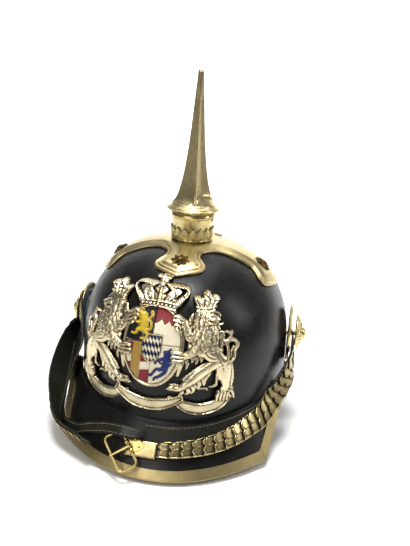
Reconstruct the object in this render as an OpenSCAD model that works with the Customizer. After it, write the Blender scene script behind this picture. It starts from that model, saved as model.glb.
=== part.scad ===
// Lacquered leather parade helmet with a square-cut front visor, a fluted spike and scale chin straps.
// X points to the wearer's left, -Y to the front and +Z up. The origin lies on the spike's axis, in the
// plane that the two visors rest on. All sizes are in millimetres.

/* [Skull] */
// Half of the skull's outer width
skull_half_width = 91; // [86:1:96]
// Half of the skull's outer length
skull_half_length = 109.5; // [105:0.5:114]
// Height of the crown of the skull
skull_top = 155.5; // [150:0.5:160]
// Height where the wall starts to curve in
skull_shoulder = 64; // [60:1:68]
// Thickness of the leather wall
skull_wall = 3; // [2:0.2:3.6]
// Height of the lower rim at the front and the back
rim_height = 36; // [34:0.5:38]
// How much higher the rim is at the sides
rim_arch = 8; // [5:0.5:10]
// Radius of the vent hole in the crown
vent_radius = 11; // [9:0.5:13]

/* [Visors] */
// Reach of the front visor's edge from the spike's axis
visor_reach = 140.6; // [136:0.2:145]
// Sideways distance of the front visor's corners
corner_out = 86; // [82:0.5:90]
// Forward distance of the front visor's corners
corner_forward = 93; // [88:0.5:98]
// Height of the visor's upper face at the middle of its edge
visor_edge_height = 3.6; // [3.4:0.1:4.5]
// How much higher the corners are than the middle
corner_lift = 3.2; // [2:0.2:5]
// Thickness of the visor leather
visor_wall = 2.4; // [2:0.2:2.8]
// How far the visor's ends stand out beside the skull
visor_end_stand = 4; // [3:0.5:7]
// Forward distance of the visor's ends
visor_end_forward = 31; // [28:0.5:35]
// Height of the visor's ends
visor_end_height = 48; // [46:0.5:50]
// Reach of the rear visor's edge from the spike's axis
rear_reach = 148; // [143:0.5:152]
// Width of the metal trim on the visor's upper face
trim_width = 8; // [6:0.5:10]
// Width of the metal trim's return below
trim_return = 5; // [4:0.5:6]
// Thickness of the trim metal
trim_metal = 0.8; // [0.6:0.1:1]

/* [Spike base] */
// Reach of the front and the rear arm, measured over the skull
arm_reach_long = 71; // [67:1:74]
// Reach of the two side arms, measured over the skull
arm_reach_side = 86; // [80:1:90]
// Half width of the trefoil lobes
lobe_half_width = 21; // [18:0.5:23]
// Half width of the arms between the neck and the lobes
arm_half_width = 11.5; // [10:0.5:13]
// Height of the raised crest of the arms
arm_crest = 2.6; // [2:0.2:3.4]
// Thickness of the cross metal at its edge
cross_metal = 1; // [0.8:0.1:1.2]
// Outer radius of the star studs
star_radius = 8; // [7:0.5:9]

/* [Spike] */
// Height of the lower end of the neck
neck_bottom = 158.5; // [157.5:0.5:160]
// Height of the neck
neck_height = 23; // [21:0.5:26]
// Outer radius at the bottom of the neck
neck_radius = 17.1; // [16:0.1:18]
// Outer radius at the top of the neck
neck_top_radius = 18.8; // [18:0.1:20]
// Thickness of the neck's metal
neck_wall = 1.4; // [1:0.1:1.8]
// Height of the leaf band around the neck
leaf_height = 14; // [11:0.5:16]
// Number of leaves in the band
leaf_count = 16; // [12:2:20]
// Radius of the spike's flange
flange_radius = 23.5; // [22:0.5:25]
// Length of the fluted spike above the flange
spike_length = 111; // [100:1:120]
// Radius of the fluted spike at its foot
spike_foot_radius = 17.2; // [15:0.2:18]
// Number of flutes
flute_count = 8; // [6:1:10]
// Radius of the threaded stud that holds the spike
stud_radius = 4; // [3:0.5:5]
// Lift of the spike for each full turn
thread_pitch = 1.5; // [1:0.25:2]

/* [Cockades] */
// Radius of the cockade discs
cockade_radius = 25; // [23:0.5:27]
// Radius of the strap bosses
boss_radius = 16.8; // [15:0.2:18]
// Height of the boss's knob over its rim
boss_rise = 7; // [5:0.5:8]
// Radius of the boss screw
screw_radius = 2.5; // [2:0.1:3]
// Height of the boss screws over the ground plane
boss_height = 81; // [78:0.5:84]

/* [Plate] */
// Height of the middle of the shield over the ground plane
shield_height = 101; // [98:0.5:104]
// Half width of the oval shield
shield_half_width = 24; // [22:0.5:26]
// Half height of the oval shield
shield_half_height = 33; // [30:0.5:36]
// Sideways place of the plate's middle
plate_shift = -6; // [-8:0.5:0]
// Distance of the plate's back from the leather at its middle
plate_gap = 0.5; // [0.4:0.1:1]
// How far the plate's ends stand off the curve of the skull
plate_spread = 2.5; // [1:0.5:4]

/* [Chin strap] */
// Width of a scale beside the boss
scale_width_boss = 21; // [18:0.5:22]
// Width of a scale beside the buckle
scale_width_end = 12.5; // [11:0.5:14]
// Thickness of a scale
scale_metal = 0.7; // [0.5:0.1:0.8]
// Number of scales on the wearer's left half
scale_count_left = 19; // [16:1:19]
// Number of scales on the wearer's right half
scale_count_right = 16; // [14:1:16]
// Thickness of the strap leather
strap_leather = 1.6; // [1.2:0.1:1.8]
// Gap under the strap where it lies on the visor
strap_seat = 1.5; // [1.4:0.1:2]
// How far the slack right half stands off the visor's end
strap_bulge = 13; // [8:1:15]
// Radius of the buckle wire
buckle_wire = 1.2; // [1:0.1:1.5]
// Length of the buckle across the strap
buckle_length = 30; // [28:1:34]
// Length of the buckle along the strap
buckle_width = 15; // [13:1:17]

/* [Liner] */
// Height of the sweatband
sweatband_height = 28; // [24:1:30]
// Thickness of the sweatband
sweatband_wall = 1.2; // [1:0.1:1.6]
// Number of liner tongues
tongue_count = 8; // [8:4:12]
// Height of the tips of the liner tongues
tongue_tip_height = 118; // [110:1:126]
// Distance of the tongues' tips from the spike's axis
tip_radius = 26; // [18:1:32]

/* [Hidden] */
// Exponent of the rounded outline of the dome, where 2 is an ellipse
dome_power = 2.4;
// Space left between pieces that are screwed or sewn together
seat_gap = 0.3;
// Steps around the skull and up its dome
around_steps = 56;
dome_steps = 9;
// Steps across half of the visors
front_steps = 13;
side_steps = 9;
// Share of the visor's half width that is its front edge
corner_share = 0.62;
// Angle from the front where the front visor ends on the skull
front_end_angle = acos(visor_end_forward / skull_half_length);
// Angle from the back where the rear visor ends on the skull
rear_end_angle = 82;
round_fn = 48;
big = 400;
visor_end_out = skull_half_width + visor_end_stand;

function unit(v) = v / norm(v);
function mix(a, b, t) = a * (1 - t) + b * t;
function clamp(x, low, high) = min(max(x, low), high);
function above_ground(p) = [p.x, p.y, max(p.z, 0)];

// Dome of the skull, where offset is the distance outside the leather's outer face.
// Angle 0 is the front and angle 90 the wearer's left.
function shrink(z, offset = 0) =
  z <= skull_shoulder ? 1
  : pow(max(1 - pow(min((z - skull_shoulder) / (skull_top + offset - skull_shoulder), 1), dome_power), 0),
        1 / dome_power);
function wall_point(angle, z, offset = 0) = [
  (skull_half_width + offset) * shrink(z, offset) * sin(angle),
  -(skull_half_length + offset) * shrink(z, offset) * cos(angle),
  z
];
function rise_point(angle, rise, offset = 0) = [
  (skull_half_width + offset) * pow(cos(rise), 2 / dome_power) * sin(angle),
  -(skull_half_length + offset) * pow(cos(rise), 2 / dome_power) * cos(angle),
  skull_shoulder + (skull_top + offset - skull_shoulder) * pow(sin(rise), 2 / dome_power)
];
function rim_at(angle) = rim_height + rim_arch * pow(sin(angle), 2);

// Height of the dome over a place seen from above
function dome_height(x, y, offset = 0) =
  let (r = norm([x / (skull_half_width + offset), y / (skull_half_length + offset)]))
  skull_shoulder + (skull_top + offset - skull_shoulder)
    * pow(max(1 - pow(min(r, 1), dome_power), 0), 1 / dome_power);
function dome_normal(p) =
  let (e = 0.5)
  unit([
    dome_height(p.x - e, p.y) - dome_height(p.x + e, p.y),
    dome_height(p.x, p.y - e) - dome_height(p.x, p.y + e),
    2 * e
  ]);

// A closed thin body between an upper and a lower grid of points. Each grid is a list of columns
// with as many points each. The upper side faces along column step x row step.
module sheet(upper, lower, wrap = false) {
  columns = len(upper);
  rows = len(upper[0]);
  points = concat([for (c = upper) each c], [for (c = lower) each c]);
  function at(c, r, low = 0) = (c % columns) * rows + r + low * columns * rows;
  last = wrap ? columns - 1 : columns - 2;
  top_row = rows - 1;
  end = columns - 1;
  skin = [
    for (c = [0:last], r = [0:rows - 2]) each [
      [at(c, r), at(c, r + 1), at(c + 1, r + 1)],
      [at(c, r), at(c + 1, r + 1), at(c + 1, r)],
      [at(c, r, 1), at(c + 1, r + 1, 1), at(c, r + 1, 1)],
      [at(c, r, 1), at(c + 1, r, 1), at(c + 1, r + 1, 1)]
    ]
  ];
  walls = [
    for (c = [0:last]) each [
      [at(c, 0), at(c + 1, 0), at(c + 1, 0, 1)],
      [at(c, 0), at(c + 1, 0, 1), at(c, 0, 1)],
      [at(c, top_row), at(c + 1, top_row, 1), at(c + 1, top_row)],
      [at(c, top_row), at(c, top_row, 1), at(c + 1, top_row, 1)]
    ]
  ];
  ends = wrap ? [] : [
    for (r = [0:rows - 2]) each [
      [at(0, r), at(0, r + 1, 1), at(0, r + 1)],
      [at(0, r), at(0, r, 1), at(0, r + 1, 1)],
      [at(end, r), at(end, r + 1), at(end, r + 1, 1)],
      [at(end, r), at(end, r + 1, 1), at(end, r, 1)]
    ]
  ];
  polyhedron(points, concat(skin, walls, ends), convexity = 8);
}

// A smooth line through a list of points, at t from 0 to 1
function through(points, t) =
  let (
    spans = len(points) - 1,
    i = min(floor(t * spans), spans - 1),
    f = t * spans - i,
    p0 = points[max(i - 1, 0)],
    p1 = points[i],
    p2 = points[i + 1],
    p3 = points[min(i + 2, spans)]
  )
  (p1 * 2 + (p2 - p0) * f + (p0 * 2 - p1 * 5 + p2 * 4 - p3) * f * f
    + (p1 * 3 - p0 - p2 * 3 + p3) * f * f * f) / 2;

// Places something built around the origin at a point, with its own Z along a direction and its
// own X as near as can be to a second direction
module placed(point, z_direction, x_direction) {
  z = unit(z_direction);
  y = unit(cross(z, x_direction));
  x = cross(y, z);
  multmatrix([
    [x.x, y.x, z.x, point.x],
    [x.y, y.y, z.y, point.y],
    [x.z, y.z, z.z, point.z],
    [0, 0, 0, 1]
  ]) children();
}

// Skull

module skull() {
  angles = [for (i = [0:around_steps - 1]) 360 * i / around_steps];
  top_rise = 86;
  function wall_column(angle, offset) = concat(
    [wall_point(angle, rim_at(angle), offset)],
    [for (i = [0:dome_steps]) rise_point(angle, top_rise * i / dome_steps, offset)]
  );
  color([0.07, 0.07, 0.065]) difference() {
    sheet(
      [for (a = angles) wall_column(a, 0)],
      [for (a = angles) wall_column(a, -skull_wall)],
      wrap = true
    );
    translate([0, 0, skull_shoulder]) cylinder(r = vent_radius, h = big, $fn = round_fn);
    boss_bores(screw_radius + 0.1);
    plate_post_holes();
    star_holes();
  }
}

module boss_bores(radius)
  translate([-big / 2, 0, boss_height])
    rotate([0, 90, 0]) cylinder(r = radius, h = big, $fn = round_fn);

// Front visor. Place t runs from -1 at the wearer's right end to 1 at the left end, and place v
// from 0 at the skull to 1 at the edge.

corner = [corner_out, -corner_forward, visor_edge_height + corner_lift];
visor_middle = [0, -visor_reach, visor_edge_height];
visor_end = [visor_end_out, -visor_end_forward, visor_end_height];

function seam_point(t) =
  let (a = front_end_angle * t)
  wall_point(a, rim_at(a) + visor_wall, seat_gap);
function edge_point(t) =
  let (
    side = sign(t),
    f = min(abs(t) / corner_share, 1),
    g = max((abs(t) - corner_share) / (1 - corner_share), 0),
    curve = pow(f, 2.1),
    front = [corner.x * f, mix(visor_middle.y, corner.y, curve), mix(visor_middle.z, corner.z, curve)],
    p = mix(front, visor_end, g)
  )
  [side * p.x, p.y, p.z];
function visor_point(t, v) = mix(seam_point(t), edge_point(t), v);
function visor_normal(t, v) =
  let (e = 0.01, a = clamp(t, -1 + e, 1 - e))
  unit(cross(visor_point(a + e, v) - visor_point(a - e, v), visor_point(a, v - e) - visor_point(a, v + e)));
function over_visor(t, v, lift) = visor_point(t, v) + visor_normal(t, v) * lift;
// The leather's lower face, which meets the skull squarely at the seam
function under_visor(t, v) =
  let (n = unit(mix([0, 0, 1], visor_normal(t, v), clamp(v * 6, 0, 1))))
  above_ground(visor_point(t, v) - n * visor_wall);

visor_places = concat(
  [for (i = [0:side_steps - 1]) -mix(1, corner_share, i / side_steps)],
  [for (i = [-front_steps:front_steps]) corner_share * i / front_steps],
  [for (i = [1:side_steps]) mix(corner_share, 1, i / side_steps)]
);
visor_rows = [1, 0.75, 0.5, 0.25, 0.12, 0];

module front_visor() color([0.07, 0.07, 0.065])
  sheet(
    [for (t = visor_places) [for (v = visor_rows) visor_point(t, v)]],
    [for (t = visor_places) [for (v = visor_rows) under_visor(t, v)]]
  );

// Direction in the visor's face that points squarely out of its edge, mitred at the corners
function edge_side(t, from, to) =
  unit(cross(edge_point(to) - edge_point(from), visor_normal(t, 1)));
function edge_out(i) =
  let (
    t = visor_places[i],
    before = visor_places[max(i - 1, 0)],
    after = visor_places[min(i + 1, len(visor_places) - 1)],
    p = edge_side(t, before == t ? t : before, before == t ? after : t),
    q = edge_side(t, after == t ? before : t, after == t ? t : after)
  )
  (p + q) / (1 + p * q);
// Place v that the trim does not pass where the visor gets narrow at its ends
trim_least_place = 0.6;
// How far up the visor's face a band of some width reaches, as a place v
function band_top(i, width) =
  let (t = visor_places[i], out = edge_point(t) - seam_point(t), mitre = edge_out(i))
  max(1 - width * (mitre * mitre) / (out * mitre), trim_least_place);

// The trim stands a little further off where the visor twists at its ends
function trim_gap(i) = seat_gap * (abs(visor_places[i]) > 0.85 ? 2.4 : 1);
module front_visor_trim() {
  m = trim_metal;
  last = len(visor_places) - 1;
  function lip(i, lift) = over_visor(visor_places[i], band_top(i, trim_width), lift);
  function lip_below(i, depth) =
    let (t = visor_places[i], v = band_top(i, trim_return))
    visor_point(t, v) - visor_normal(t, v) * depth;
  function at_edge(i, out, lift) =
    edge_point(visor_places[i]) + edge_out(i) * out + visor_normal(visor_places[i], 1) * lift;
  color([0.79, 0.72, 0.48]) sheet(
    [for (i = [0:last]) let (g = trim_gap(i)) [for (p = [
      lip_below(i, visor_wall + 3 * g + m), at_edge(i, 0.2, -visor_wall - g - m),
      at_edge(i, g + m, -visor_wall), at_edge(i, g + m, 0.2), at_edge(i, 0.2, g + m), lip(i, g + m)
    ]) above_ground(p)]],
    [for (i = [0:last]) let (g = trim_gap(i)) [for (p = [
      lip_below(i, visor_wall + 3 * g), at_edge(i, 0, -visor_wall - g),
      at_edge(i, g, -visor_wall), at_edge(i, g, 0), at_edge(i, 0, g), lip(i, g)
    ]) [p.x, p.y, max(p.z, m)]]]
  );
}

// Rear visor. Place t runs from -1 at the wearer's left end to 1 at the right end.

rear_places = [for (i = [-20:20]) i / 20];
function rear_seam(t) =
  let (a = 180 + rear_end_angle * t)
  wall_point(a, rim_at(a) + visor_wall, seat_gap);
function rear_edge(t) =
  let (
    a = 180 + rear_end_angle * t,
    flare = mix(4, rear_reach - skull_half_length, pow(cos(90 * t), 1.3)),
    p = wall_point(a, skull_shoulder, flare)
  )
  [p.x, p.y, (visor_wall - 0.6) + (rim_height + rim_arch - 4) * pow(1 - cos(90 * t), 1.5)];
function rear_point(t, v) =
  let (p = mix(rear_seam(t), rear_edge(t), v), hollow = 3 * v * (1 - v) * cos(90 * t))
  p + unit([-p.x, -p.y, -20]) * hollow;
function rear_normal(t, v) =
  let (e = 0.01, a = clamp(t, -1 + e, 1 - e))
  unit(cross(rear_point(a + e, v) - rear_point(a - e, v), rear_point(a, v - e) - rear_point(a, v + e)));
function under_rear(t, v) =
  let (n = unit(mix([0, 0, 1], rear_normal(t, v), clamp(v * 3, 0, 1))))
  above_ground(rear_point(t, v) - n * visor_wall);

module rear_visor() color([0.07, 0.07, 0.065])
  sheet(
    [for (t = rear_places) [for (v = visor_rows) rear_point(t, v)]],
    [for (t = rear_places) [for (v = visor_rows) under_rear(t, v)]]
  );

// Rear spine, a metal strip from the cross base down the back to the rear visor's edge

spine_half_width = 5;
spine_metal = 1;
// Distance of the spine from the leather, so that it passes over the seam
spine_lift = 0.8;
spine_top_rise = 54;
spine_steps = 9;
function spine_line(side) =
  let (
    down_skull = [for (i = [0:spine_steps]) let (rise = mix(spine_top_rise, 0, i / spine_steps))
      rise_point(180 - side * asin(spine_half_width / skull_half_width) / pow(cos(rise), 2 / dome_power),
        rise, spine_lift)],
    share = asin(spine_half_width / skull_half_width) / rear_end_angle,
    down_visor = [for (v = [0, 0.15, 0.3, 0.5, 0.75, 0.97]) rear_point(-side * share, v)
      + rear_normal(-side * share, v) * spine_lift]
  )
  concat(down_skull, down_visor);
spine_left = spine_line(1);
spine_right = spine_line(-1);
// Middle of the spine's underside at a row and the direction out of it
function spine_face(i) =
  let (
    before = max(i - 1, 0),
    after = min(i + 1, len(spine_left) - 1),
    down = spine_left[after] + spine_right[after] - spine_left[before] - spine_right[before]
  )
  [(spine_left[i] + spine_right[i]) / 2, unit(cross(spine_left[i] - spine_right[i], down))];

module rear_spine() {
  crest = 0.5;
  across = [1, 0.5, -0.5, -1];
  function row(i, lift, rise) = [
    for (s = across)
      mix(spine_right[i], spine_left[i], (1 + s) / 2) + spine_face(i)[1] * (lift + (abs(s) == 1 ? 0 : rise))
  ];
  color([0.82, 0.76, 0.55]) sheet(
    [for (i = [0:len(spine_left) - 1]) row(i, spine_metal, crest)],
    [for (i = [0:len(spine_left) - 1]) row(i, 0, 0)]
  );
}

spine_stud_rows = [3, 7];
module spine_studs() color([0.82, 0.76, 0.55])
  for (i = spine_stud_rows) {
    f = spine_face(i);
    placed(f[0] + f[1] * (spine_metal + 0.5 + seat_gap), f[1], [1, 0, 0])
      rotate_extrude($fn = 32) polygon([[0, 0], [3.4, 0], [3.2, 0.8], [2.2, 1.6], [0, 2]]);
  }

// Cross base: four trefoil arms in one sheet of metal that follows the dome. A place is given by
// the arm, the distance along it and the distance to its side, measured over the skull.

function arm_reach(arm) = arm % 2 == 0 ? arm_reach_long : arm_reach_side;
// Where the outlines of two neighbouring arms meet
arm_start = arm_half_width + 3;
// Outline of a lobe from its pointed tip back: distance from the tip and share of the half width
lobe_outline = [
  [0, 0], [1.4, 0.13], [4.5, 0.36], [8.5, 0.68], [12.5, 0.92],
  [16.5, 1], [20.5, 0.98], [24.5, 0.84], [29, 0.67]
];
lobe_points = len(lobe_outline);
function arm_outline(arm) = concat(
  [
    [arm_start, arm_start],
    [arm_start + 9, arm_half_width + 0.8],
    [arm_reach(arm) - 37, arm_half_width + 0.3]
  ],
  [for (i = [lobe_points - 1:-1:0])
    [arm_reach(arm) - lobe_outline[i][0], lobe_outline[i][1] * lobe_half_width]]
);

// Seen from above, the point that lies a distance out over the dome
dome_walk = [for (arm = [0, 1]) walk_table(arm == 0 ? skull_half_length : skull_half_width, 40)];
function walk_table(half, steps) =
  let (points = [for (i = [0:steps]) let (rise = 90 - 90 * i / steps)
    [half * pow(cos(rise), 2 / dome_power), (skull_top - skull_shoulder) * pow(sin(rise), 2 / dome_power)]])
  [for (
    i = 0, s = 0;
    i <= steps;
    i = i + 1, s = i <= steps ? s + norm(points[i] - points[i - 1]) : s
  ) [s, points[i].x]];
function arm_point(arm, s, side, lift) =
  let (
    along = lookup(s, dome_walk[arm % 2]),
    place = [[side, -along], [along, side], [-side, along], [-along, -side]][arm],
    p = [place.x, place.y, dome_height(place.x, place.y)]
  )
  p + dome_normal(p) * lift;

cross_rings = 5;
// Distance of the cross's underside from the leather
cross_seat = 1;
arm_steps = lobe_points + 2;
// Columns of the cross: arm, distance and side of the outline point, and share across at the middle
cross_columns = [
  for (arm = [0:3]) let (line = arm_outline(arm)) each concat(
    [for (i = [0:arm_steps]) [arm, line[i][0], -line[i][1], 1 - i / arm_steps]],
    [for (i = [arm_steps - 1:-1:1]) [arm, line[i][0], line[i][1], 1 - i / arm_steps]]
  )
];
// Upper face over a place: flat under the neck, crested along the arms
function cross_top(arm, s, side, across) =
  let (
    crest = arm_crest * (1 - pow(across, 2)) * clamp((arm_reach(arm) - s) / 10, 0, 1),
    lift = cross_seat + cross_metal + crest,
    p = arm_point(arm, s, side, lift),
    f = clamp((norm([p.x, p.y]) - neck_top_radius) / 10, 0, 1)
  )
  [p.x, p.y, mix(neck_bottom - seat_gap, p.z, f * f * (3 - 2 * f))];
module cross_base() {
  inner = vent_radius - 1;
  // Column c runs from the middle to its place on the outline as ring goes from 0 to the last
  function place(c, ring) =
    let (
      arm = c[0],
      f = mix(inner / c[1], 1, ring / cross_rings),
      s = c[1] * f,
      across = c[3] == 0 ? 0 : mix(c[3], 1, pow(f, 3)),
      line = arm_outline(arm),
      width = s < arm_start ? s : lookup(s, line)
    )
    [arm, s, sign(c[2]) * across * width, across];
  color([0.84, 0.80, 0.62]) difference() {
    sheet(
      [for (c = cross_columns) [for (ring = [cross_rings:-1:0])
        let (q = place(c, ring)) cross_top(q[0], q[1], q[2], q[3])]],
      [for (c = cross_columns) [for (ring = [cross_rings:-1:0])
        let (q = place(c, ring)) arm_point(q[0], q[1], q[2], cross_seat)]],
      wrap = true
    );
    translate([0, 0, skull_shoulder]) cylinder(r = vent_radius + 3.3, h = big, $fn = round_fn);
    star_holes();
  }
}

// Distance of the stars from the tips of the arms
star_from_tip = 21;
star_lift = cross_seat + cross_metal + arm_crest + 0.2;
star_shank = 1.5;
star_shank_length = 12;
function star_place(arm) = arm_point(arm, arm_reach(arm) - star_from_tip, 0, star_lift);
module star_holes()
  for (arm = [0:3]) {
    p = star_place(arm);
    placed(p, dome_normal(p), [p.x, p.y, -20])
      translate([0, 0, -star_shank_length])
        cylinder(r = star_shank + 0.3, h = star_shank_length + 4, $fn = 32);
  }
module star_studs() color([0.72, 0.62, 0.36])
  for (arm = [0:3]) {
    p = star_place(arm);
    placed(p, dome_normal(p), [p.x, p.y, -20]) {
      linear_extrude(1.2)
        polygon([for (i = [0:15]) let (r = i % 2 == 0 ? star_radius : star_radius * 0.68)
          [r * cos(i * 22.5), r * sin(i * 22.5)]]);
      translate([0, 0, 1.2]) cylinder(r1 = star_radius * 0.55, r2 = star_radius * 0.35, h = 1, $fn = 32);
      translate([0, 0, -star_shank_length]) cylinder(r = star_shank, h = star_shank_length, $fn = 32);
    }
  }
// Square nuts on the star studs inside the skull
module star_stud_nuts() color([0.72, 0.62, 0.36])
  for (arm = [0:3]) {
    p = star_place(arm);
    placed(p, dome_normal(p), [p.x, p.y, -20])
      translate([0, 0, -star_lift - skull_wall - 1.5 - 2.4]) difference() {
        translate([-4, -4, 0]) cube([8, 8, 2.4]);
        translate([0, 0, -1]) cylinder(r = star_shank + 0.05, h = 5, $fn = 32);
      }
  }

// Spike: neck, leaf band, socket, flange, fluted point and threaded stud

neck_top = neck_bottom + neck_height;
neck_inner = neck_radius - neck_wall;
vent_hole_radius = 1.8;
vent_hole_angles = [75, 145, 215, 285];
socket_height = 5;
seat_ring_height = 0.8;
flange_bottom = neck_top + seat_ring_height + 0.1;
flange_height = 6.4;
point_bottom = flange_bottom + flange_height + 0.05;
stud_fit = 0.05;
stud_depth = 4;
stud_reach = 17;

function neck_at(z) = mix(neck_radius, neck_top_radius, clamp((z - neck_bottom) / neck_height, 0, 1));

module spike_neck() color([0.84, 0.80, 0.62])
  difference() {
    translate([0, 0, neck_bottom]) rotate_extrude($fn = 64)
      polygon([
        [neck_inner, 0], [neck_radius, 0], [neck_top_radius, neck_height - 1],
        [neck_top_radius - 0.6, neck_height], [neck_inner, neck_height]
      ]);
    for (a = vent_hole_angles)
      rotate([0, 0, a - 90]) translate([neck_inner - 3, 0, neck_top - 4.2])
        rotate([0, 90, 0]) cylinder(r = vent_hole_radius, h = 12, $fn = 24);
  }

module leaf_band() {
  leaf_steps = 4;
  columns = leaf_count * leaf_steps;
  rows = [0, 0.1, 0.5, 0.8, 1];
  // Leaves alternate between smooth round ones and pointed fans, with their tips up
  function tip(a) = let (f = abs(a * leaf_count / 360 - round(a * leaf_count / 360)) * 2)
    mix(1, 0.72, f * f);
  function relief(a, r) =
    let (f = abs(a * leaf_count / 360 - round(a * leaf_count / 360)) * 2)
    0.8 + (r < 0.05 ? 0.6 : 1.1 * (1 - f * f) * (0.5 + 0.5 * r) * (r > 0.95 ? 0.5 : 1));
  function place(a, r, lift) =
    let (z = neck_bottom + leaf_height * r * tip(a))
    [(neck_at(z) + lift) * sin(a), -(neck_at(z) + lift) * cos(a), z];
  angles = [for (i = [0:columns - 1]) 360 * i / columns];
  color([0.84, 0.80, 0.62]) sheet(
    [for (a = angles) [for (r = rows) place(a, r, 0.15 + relief(a, r))]],
    [for (a = angles) [for (r = rows) place(a, r, 0.15)]],
    wrap = true
  );
}

// Tapped bush brazed into the top of the neck
module spike_socket() color([0.72, 0.62, 0.36])
  translate([0, 0, neck_top - 0.5 - socket_height])
    rotate_extrude($fn = 64) polygon([
      [stud_radius + stud_fit, 0], [stud_radius + 4, 0], [stud_radius + 5, 2.5], [neck_inner - 0.05, 2.5],
      [neck_inner - 0.05, socket_height], [stud_radius + stud_fit, socket_height]
    ]);

// Loose washer between the neck and the flange, which rises with the spike
module seat_ring() color([0.72, 0.62, 0.36])
  translate([0, 0, neck_top + 0.05]) difference() {
    cylinder(r = neck_top_radius - 1.2, h = seat_ring_height, $fn = 64);
    translate([0, 0, -1]) cylinder(r = stud_radius + stud_fit, h = seat_ring_height + 2, $fn = 64);
  }

module spike_flange() color([0.84, 0.80, 0.62])
  translate([0, 0, flange_bottom])
    rotate_extrude($fn = 64) polygon([
      [0, stud_depth], [stud_radius + stud_fit, stud_depth], [stud_radius + stud_fit, 0],
      [flange_radius - 5, 0], [flange_radius - 4.2, 1.1], [flange_radius - 1.3, 1.7],
      [flange_radius - 0.3, 2.4], [flange_radius, 3.3], [flange_radius - 0.3, 4.1],
      [flange_radius - 1.1, 4.6], [flange_radius - 0.8, 5.1], [flange_radius - 1.2, 5.7],
      [flange_radius - 2.6, 6.1], [flange_radius - 5, flange_height], [0, flange_height]
    ]);

// Radius of the spike's ridges at a height over its foot
spike_tip_radius = 2.3;
spike_taper = 6.8;
function ridge_radius(h) =
  h > spike_length - 2 ? spike_tip_radius * sqrt(max(1 - pow((h - spike_length + 2) / 2, 2), 0.04))
  : spike_tip_radius + spike_taper * (1 - h / spike_length)
    + (spike_foot_radius - spike_tip_radius - spike_taper) * exp(-h / 22);
// Depth of the flutes as a share of the radius; each flute ends in a scoop over the foot
function flute_depth(h) = 0.2 * clamp((h - 3) / 7, 0, 1) * clamp((spike_length - 4 - h) / 10, 0, 1);

module spike_point() {
  flute_steps = 6;
  columns = flute_count * flute_steps;
  // Rows lie closer together at the foot and near the tip
  foot_rows = [0, 2.5, 5, 8, 11.5, 16, 22];
  upper_rows = [for (i = [1:8]) mix(22, spike_length - 2, i / 8)];
  rows = concat(foot_rows, upper_rows, [spike_length - 1, spike_length]);
  function ring_point(i, h) =
    let (
      a = 360 * i / columns,
      hollow = sin(180 * (i % flute_steps) / flute_steps),
      r = ridge_radius(h) * (1 - flute_depth(h) * pow(hollow, 0.8))
    )
    [r * sin(a), -r * cos(a), point_bottom + h];
  color([0.84, 0.80, 0.62]) turned([for (i = [0:columns - 1]) [for (h = rows) ring_point(i, h)]]);
}

// A closed body from columns of points that wrap around the Z axis, with a flat cap at each end
module turned(columns) {
  m = len(columns);
  n = len(columns[0]);
  points = concat([for (c = columns) each c], [[0, 0, columns[0][0].z], [0, 0, columns[0][n - 1].z]]);
  function at(c, r) = (c % m) * n + r;
  polyhedron(points, [
    for (c = [0:m - 1]) each concat(
      [for (r = [0:n - 2]) each [
        [at(c, r), at(c, r + 1), at(c + 1, r + 1)],
        [at(c, r), at(c + 1, r + 1), at(c + 1, r)]
      ]],
      [[at(c, 0), at(c + 1, 0), m * n], [at(c + 1, n - 1), at(c, n - 1), m * n + 1]]
    )
  ], convexity = 6);
}

// Stud with ridges at the pitch of its thread
thread_depth = 0.4;
module spike_stud() color([0.72, 0.62, 0.36]) {
  height = stud_reach + stud_depth - 0.15;
  ridges = floor((height - 3) / thread_pitch);
  translate([0, 0, flange_bottom - stud_reach])
    rotate_extrude($fn = 48) polygon(concat(
      [[0, 0], [stud_radius - 1, 0]],
      [for (i = [0:ridges - 1]) each [
        [stud_radius, 1 + i * thread_pitch],
        [stud_radius - thread_depth, 1 + (i + 0.5) * thread_pitch]
      ]],
      [[stud_radius, height - 1], [stud_radius, height], [0, height]]
    ));
}

// Cockades and bosses, on one axis across the helmet. Distances run outwards from the skull's side.

cockade_face = skull_half_width + 0.4;
cockade_metal = 1.2;
rim_ring_radius = 1.5;
lug_face = cockade_face + cockade_metal + 1.2;
lug_metal = 1.2;
strap_face = lug_face + lug_metal + seat_gap;
boss_face = strap_face + strap_leather + 1.2;
skull_at_boss = skull_half_width * shrink(boss_height);

// Turns a profile's own Z outwards on one side of the helmet
module on_side(side, out)
  translate([side * out, 0, boss_height]) rotate([0, side * 90, 0]) children();

module cockade(side)
  on_side(side, cockade_face)
    rotate_extrude($fn = 64) polygon([
      [screw_radius + 0.3, 0], [cockade_radius - 3.2, 0], [cockade_radius - 3.2, cockade_metal],
      [14, cockade_metal + 0.3], [8, cockade_metal + 0.5], [screw_radius + 0.3, cockade_metal + 0.5]
    ]);
module cockade_left() color([0.16, 0.15, 0.15]) cockade(1);
module cockade_right() color([0.8, 0.82, 0.85]) cockade(-1);
module cockade_rim(side)
  on_side(side, cockade_face) rotate_extrude($fn = 64)
    translate([cockade_radius - rim_ring_radius, rim_ring_radius - 0.2])
      circle(r = rim_ring_radius, $fn = 20);
module cockade_rim_left() color([0.84, 0.80, 0.62]) cockade_rim(1);
module cockade_rim_right() color([0.84, 0.80, 0.62]) cockade_rim(-1);

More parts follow.
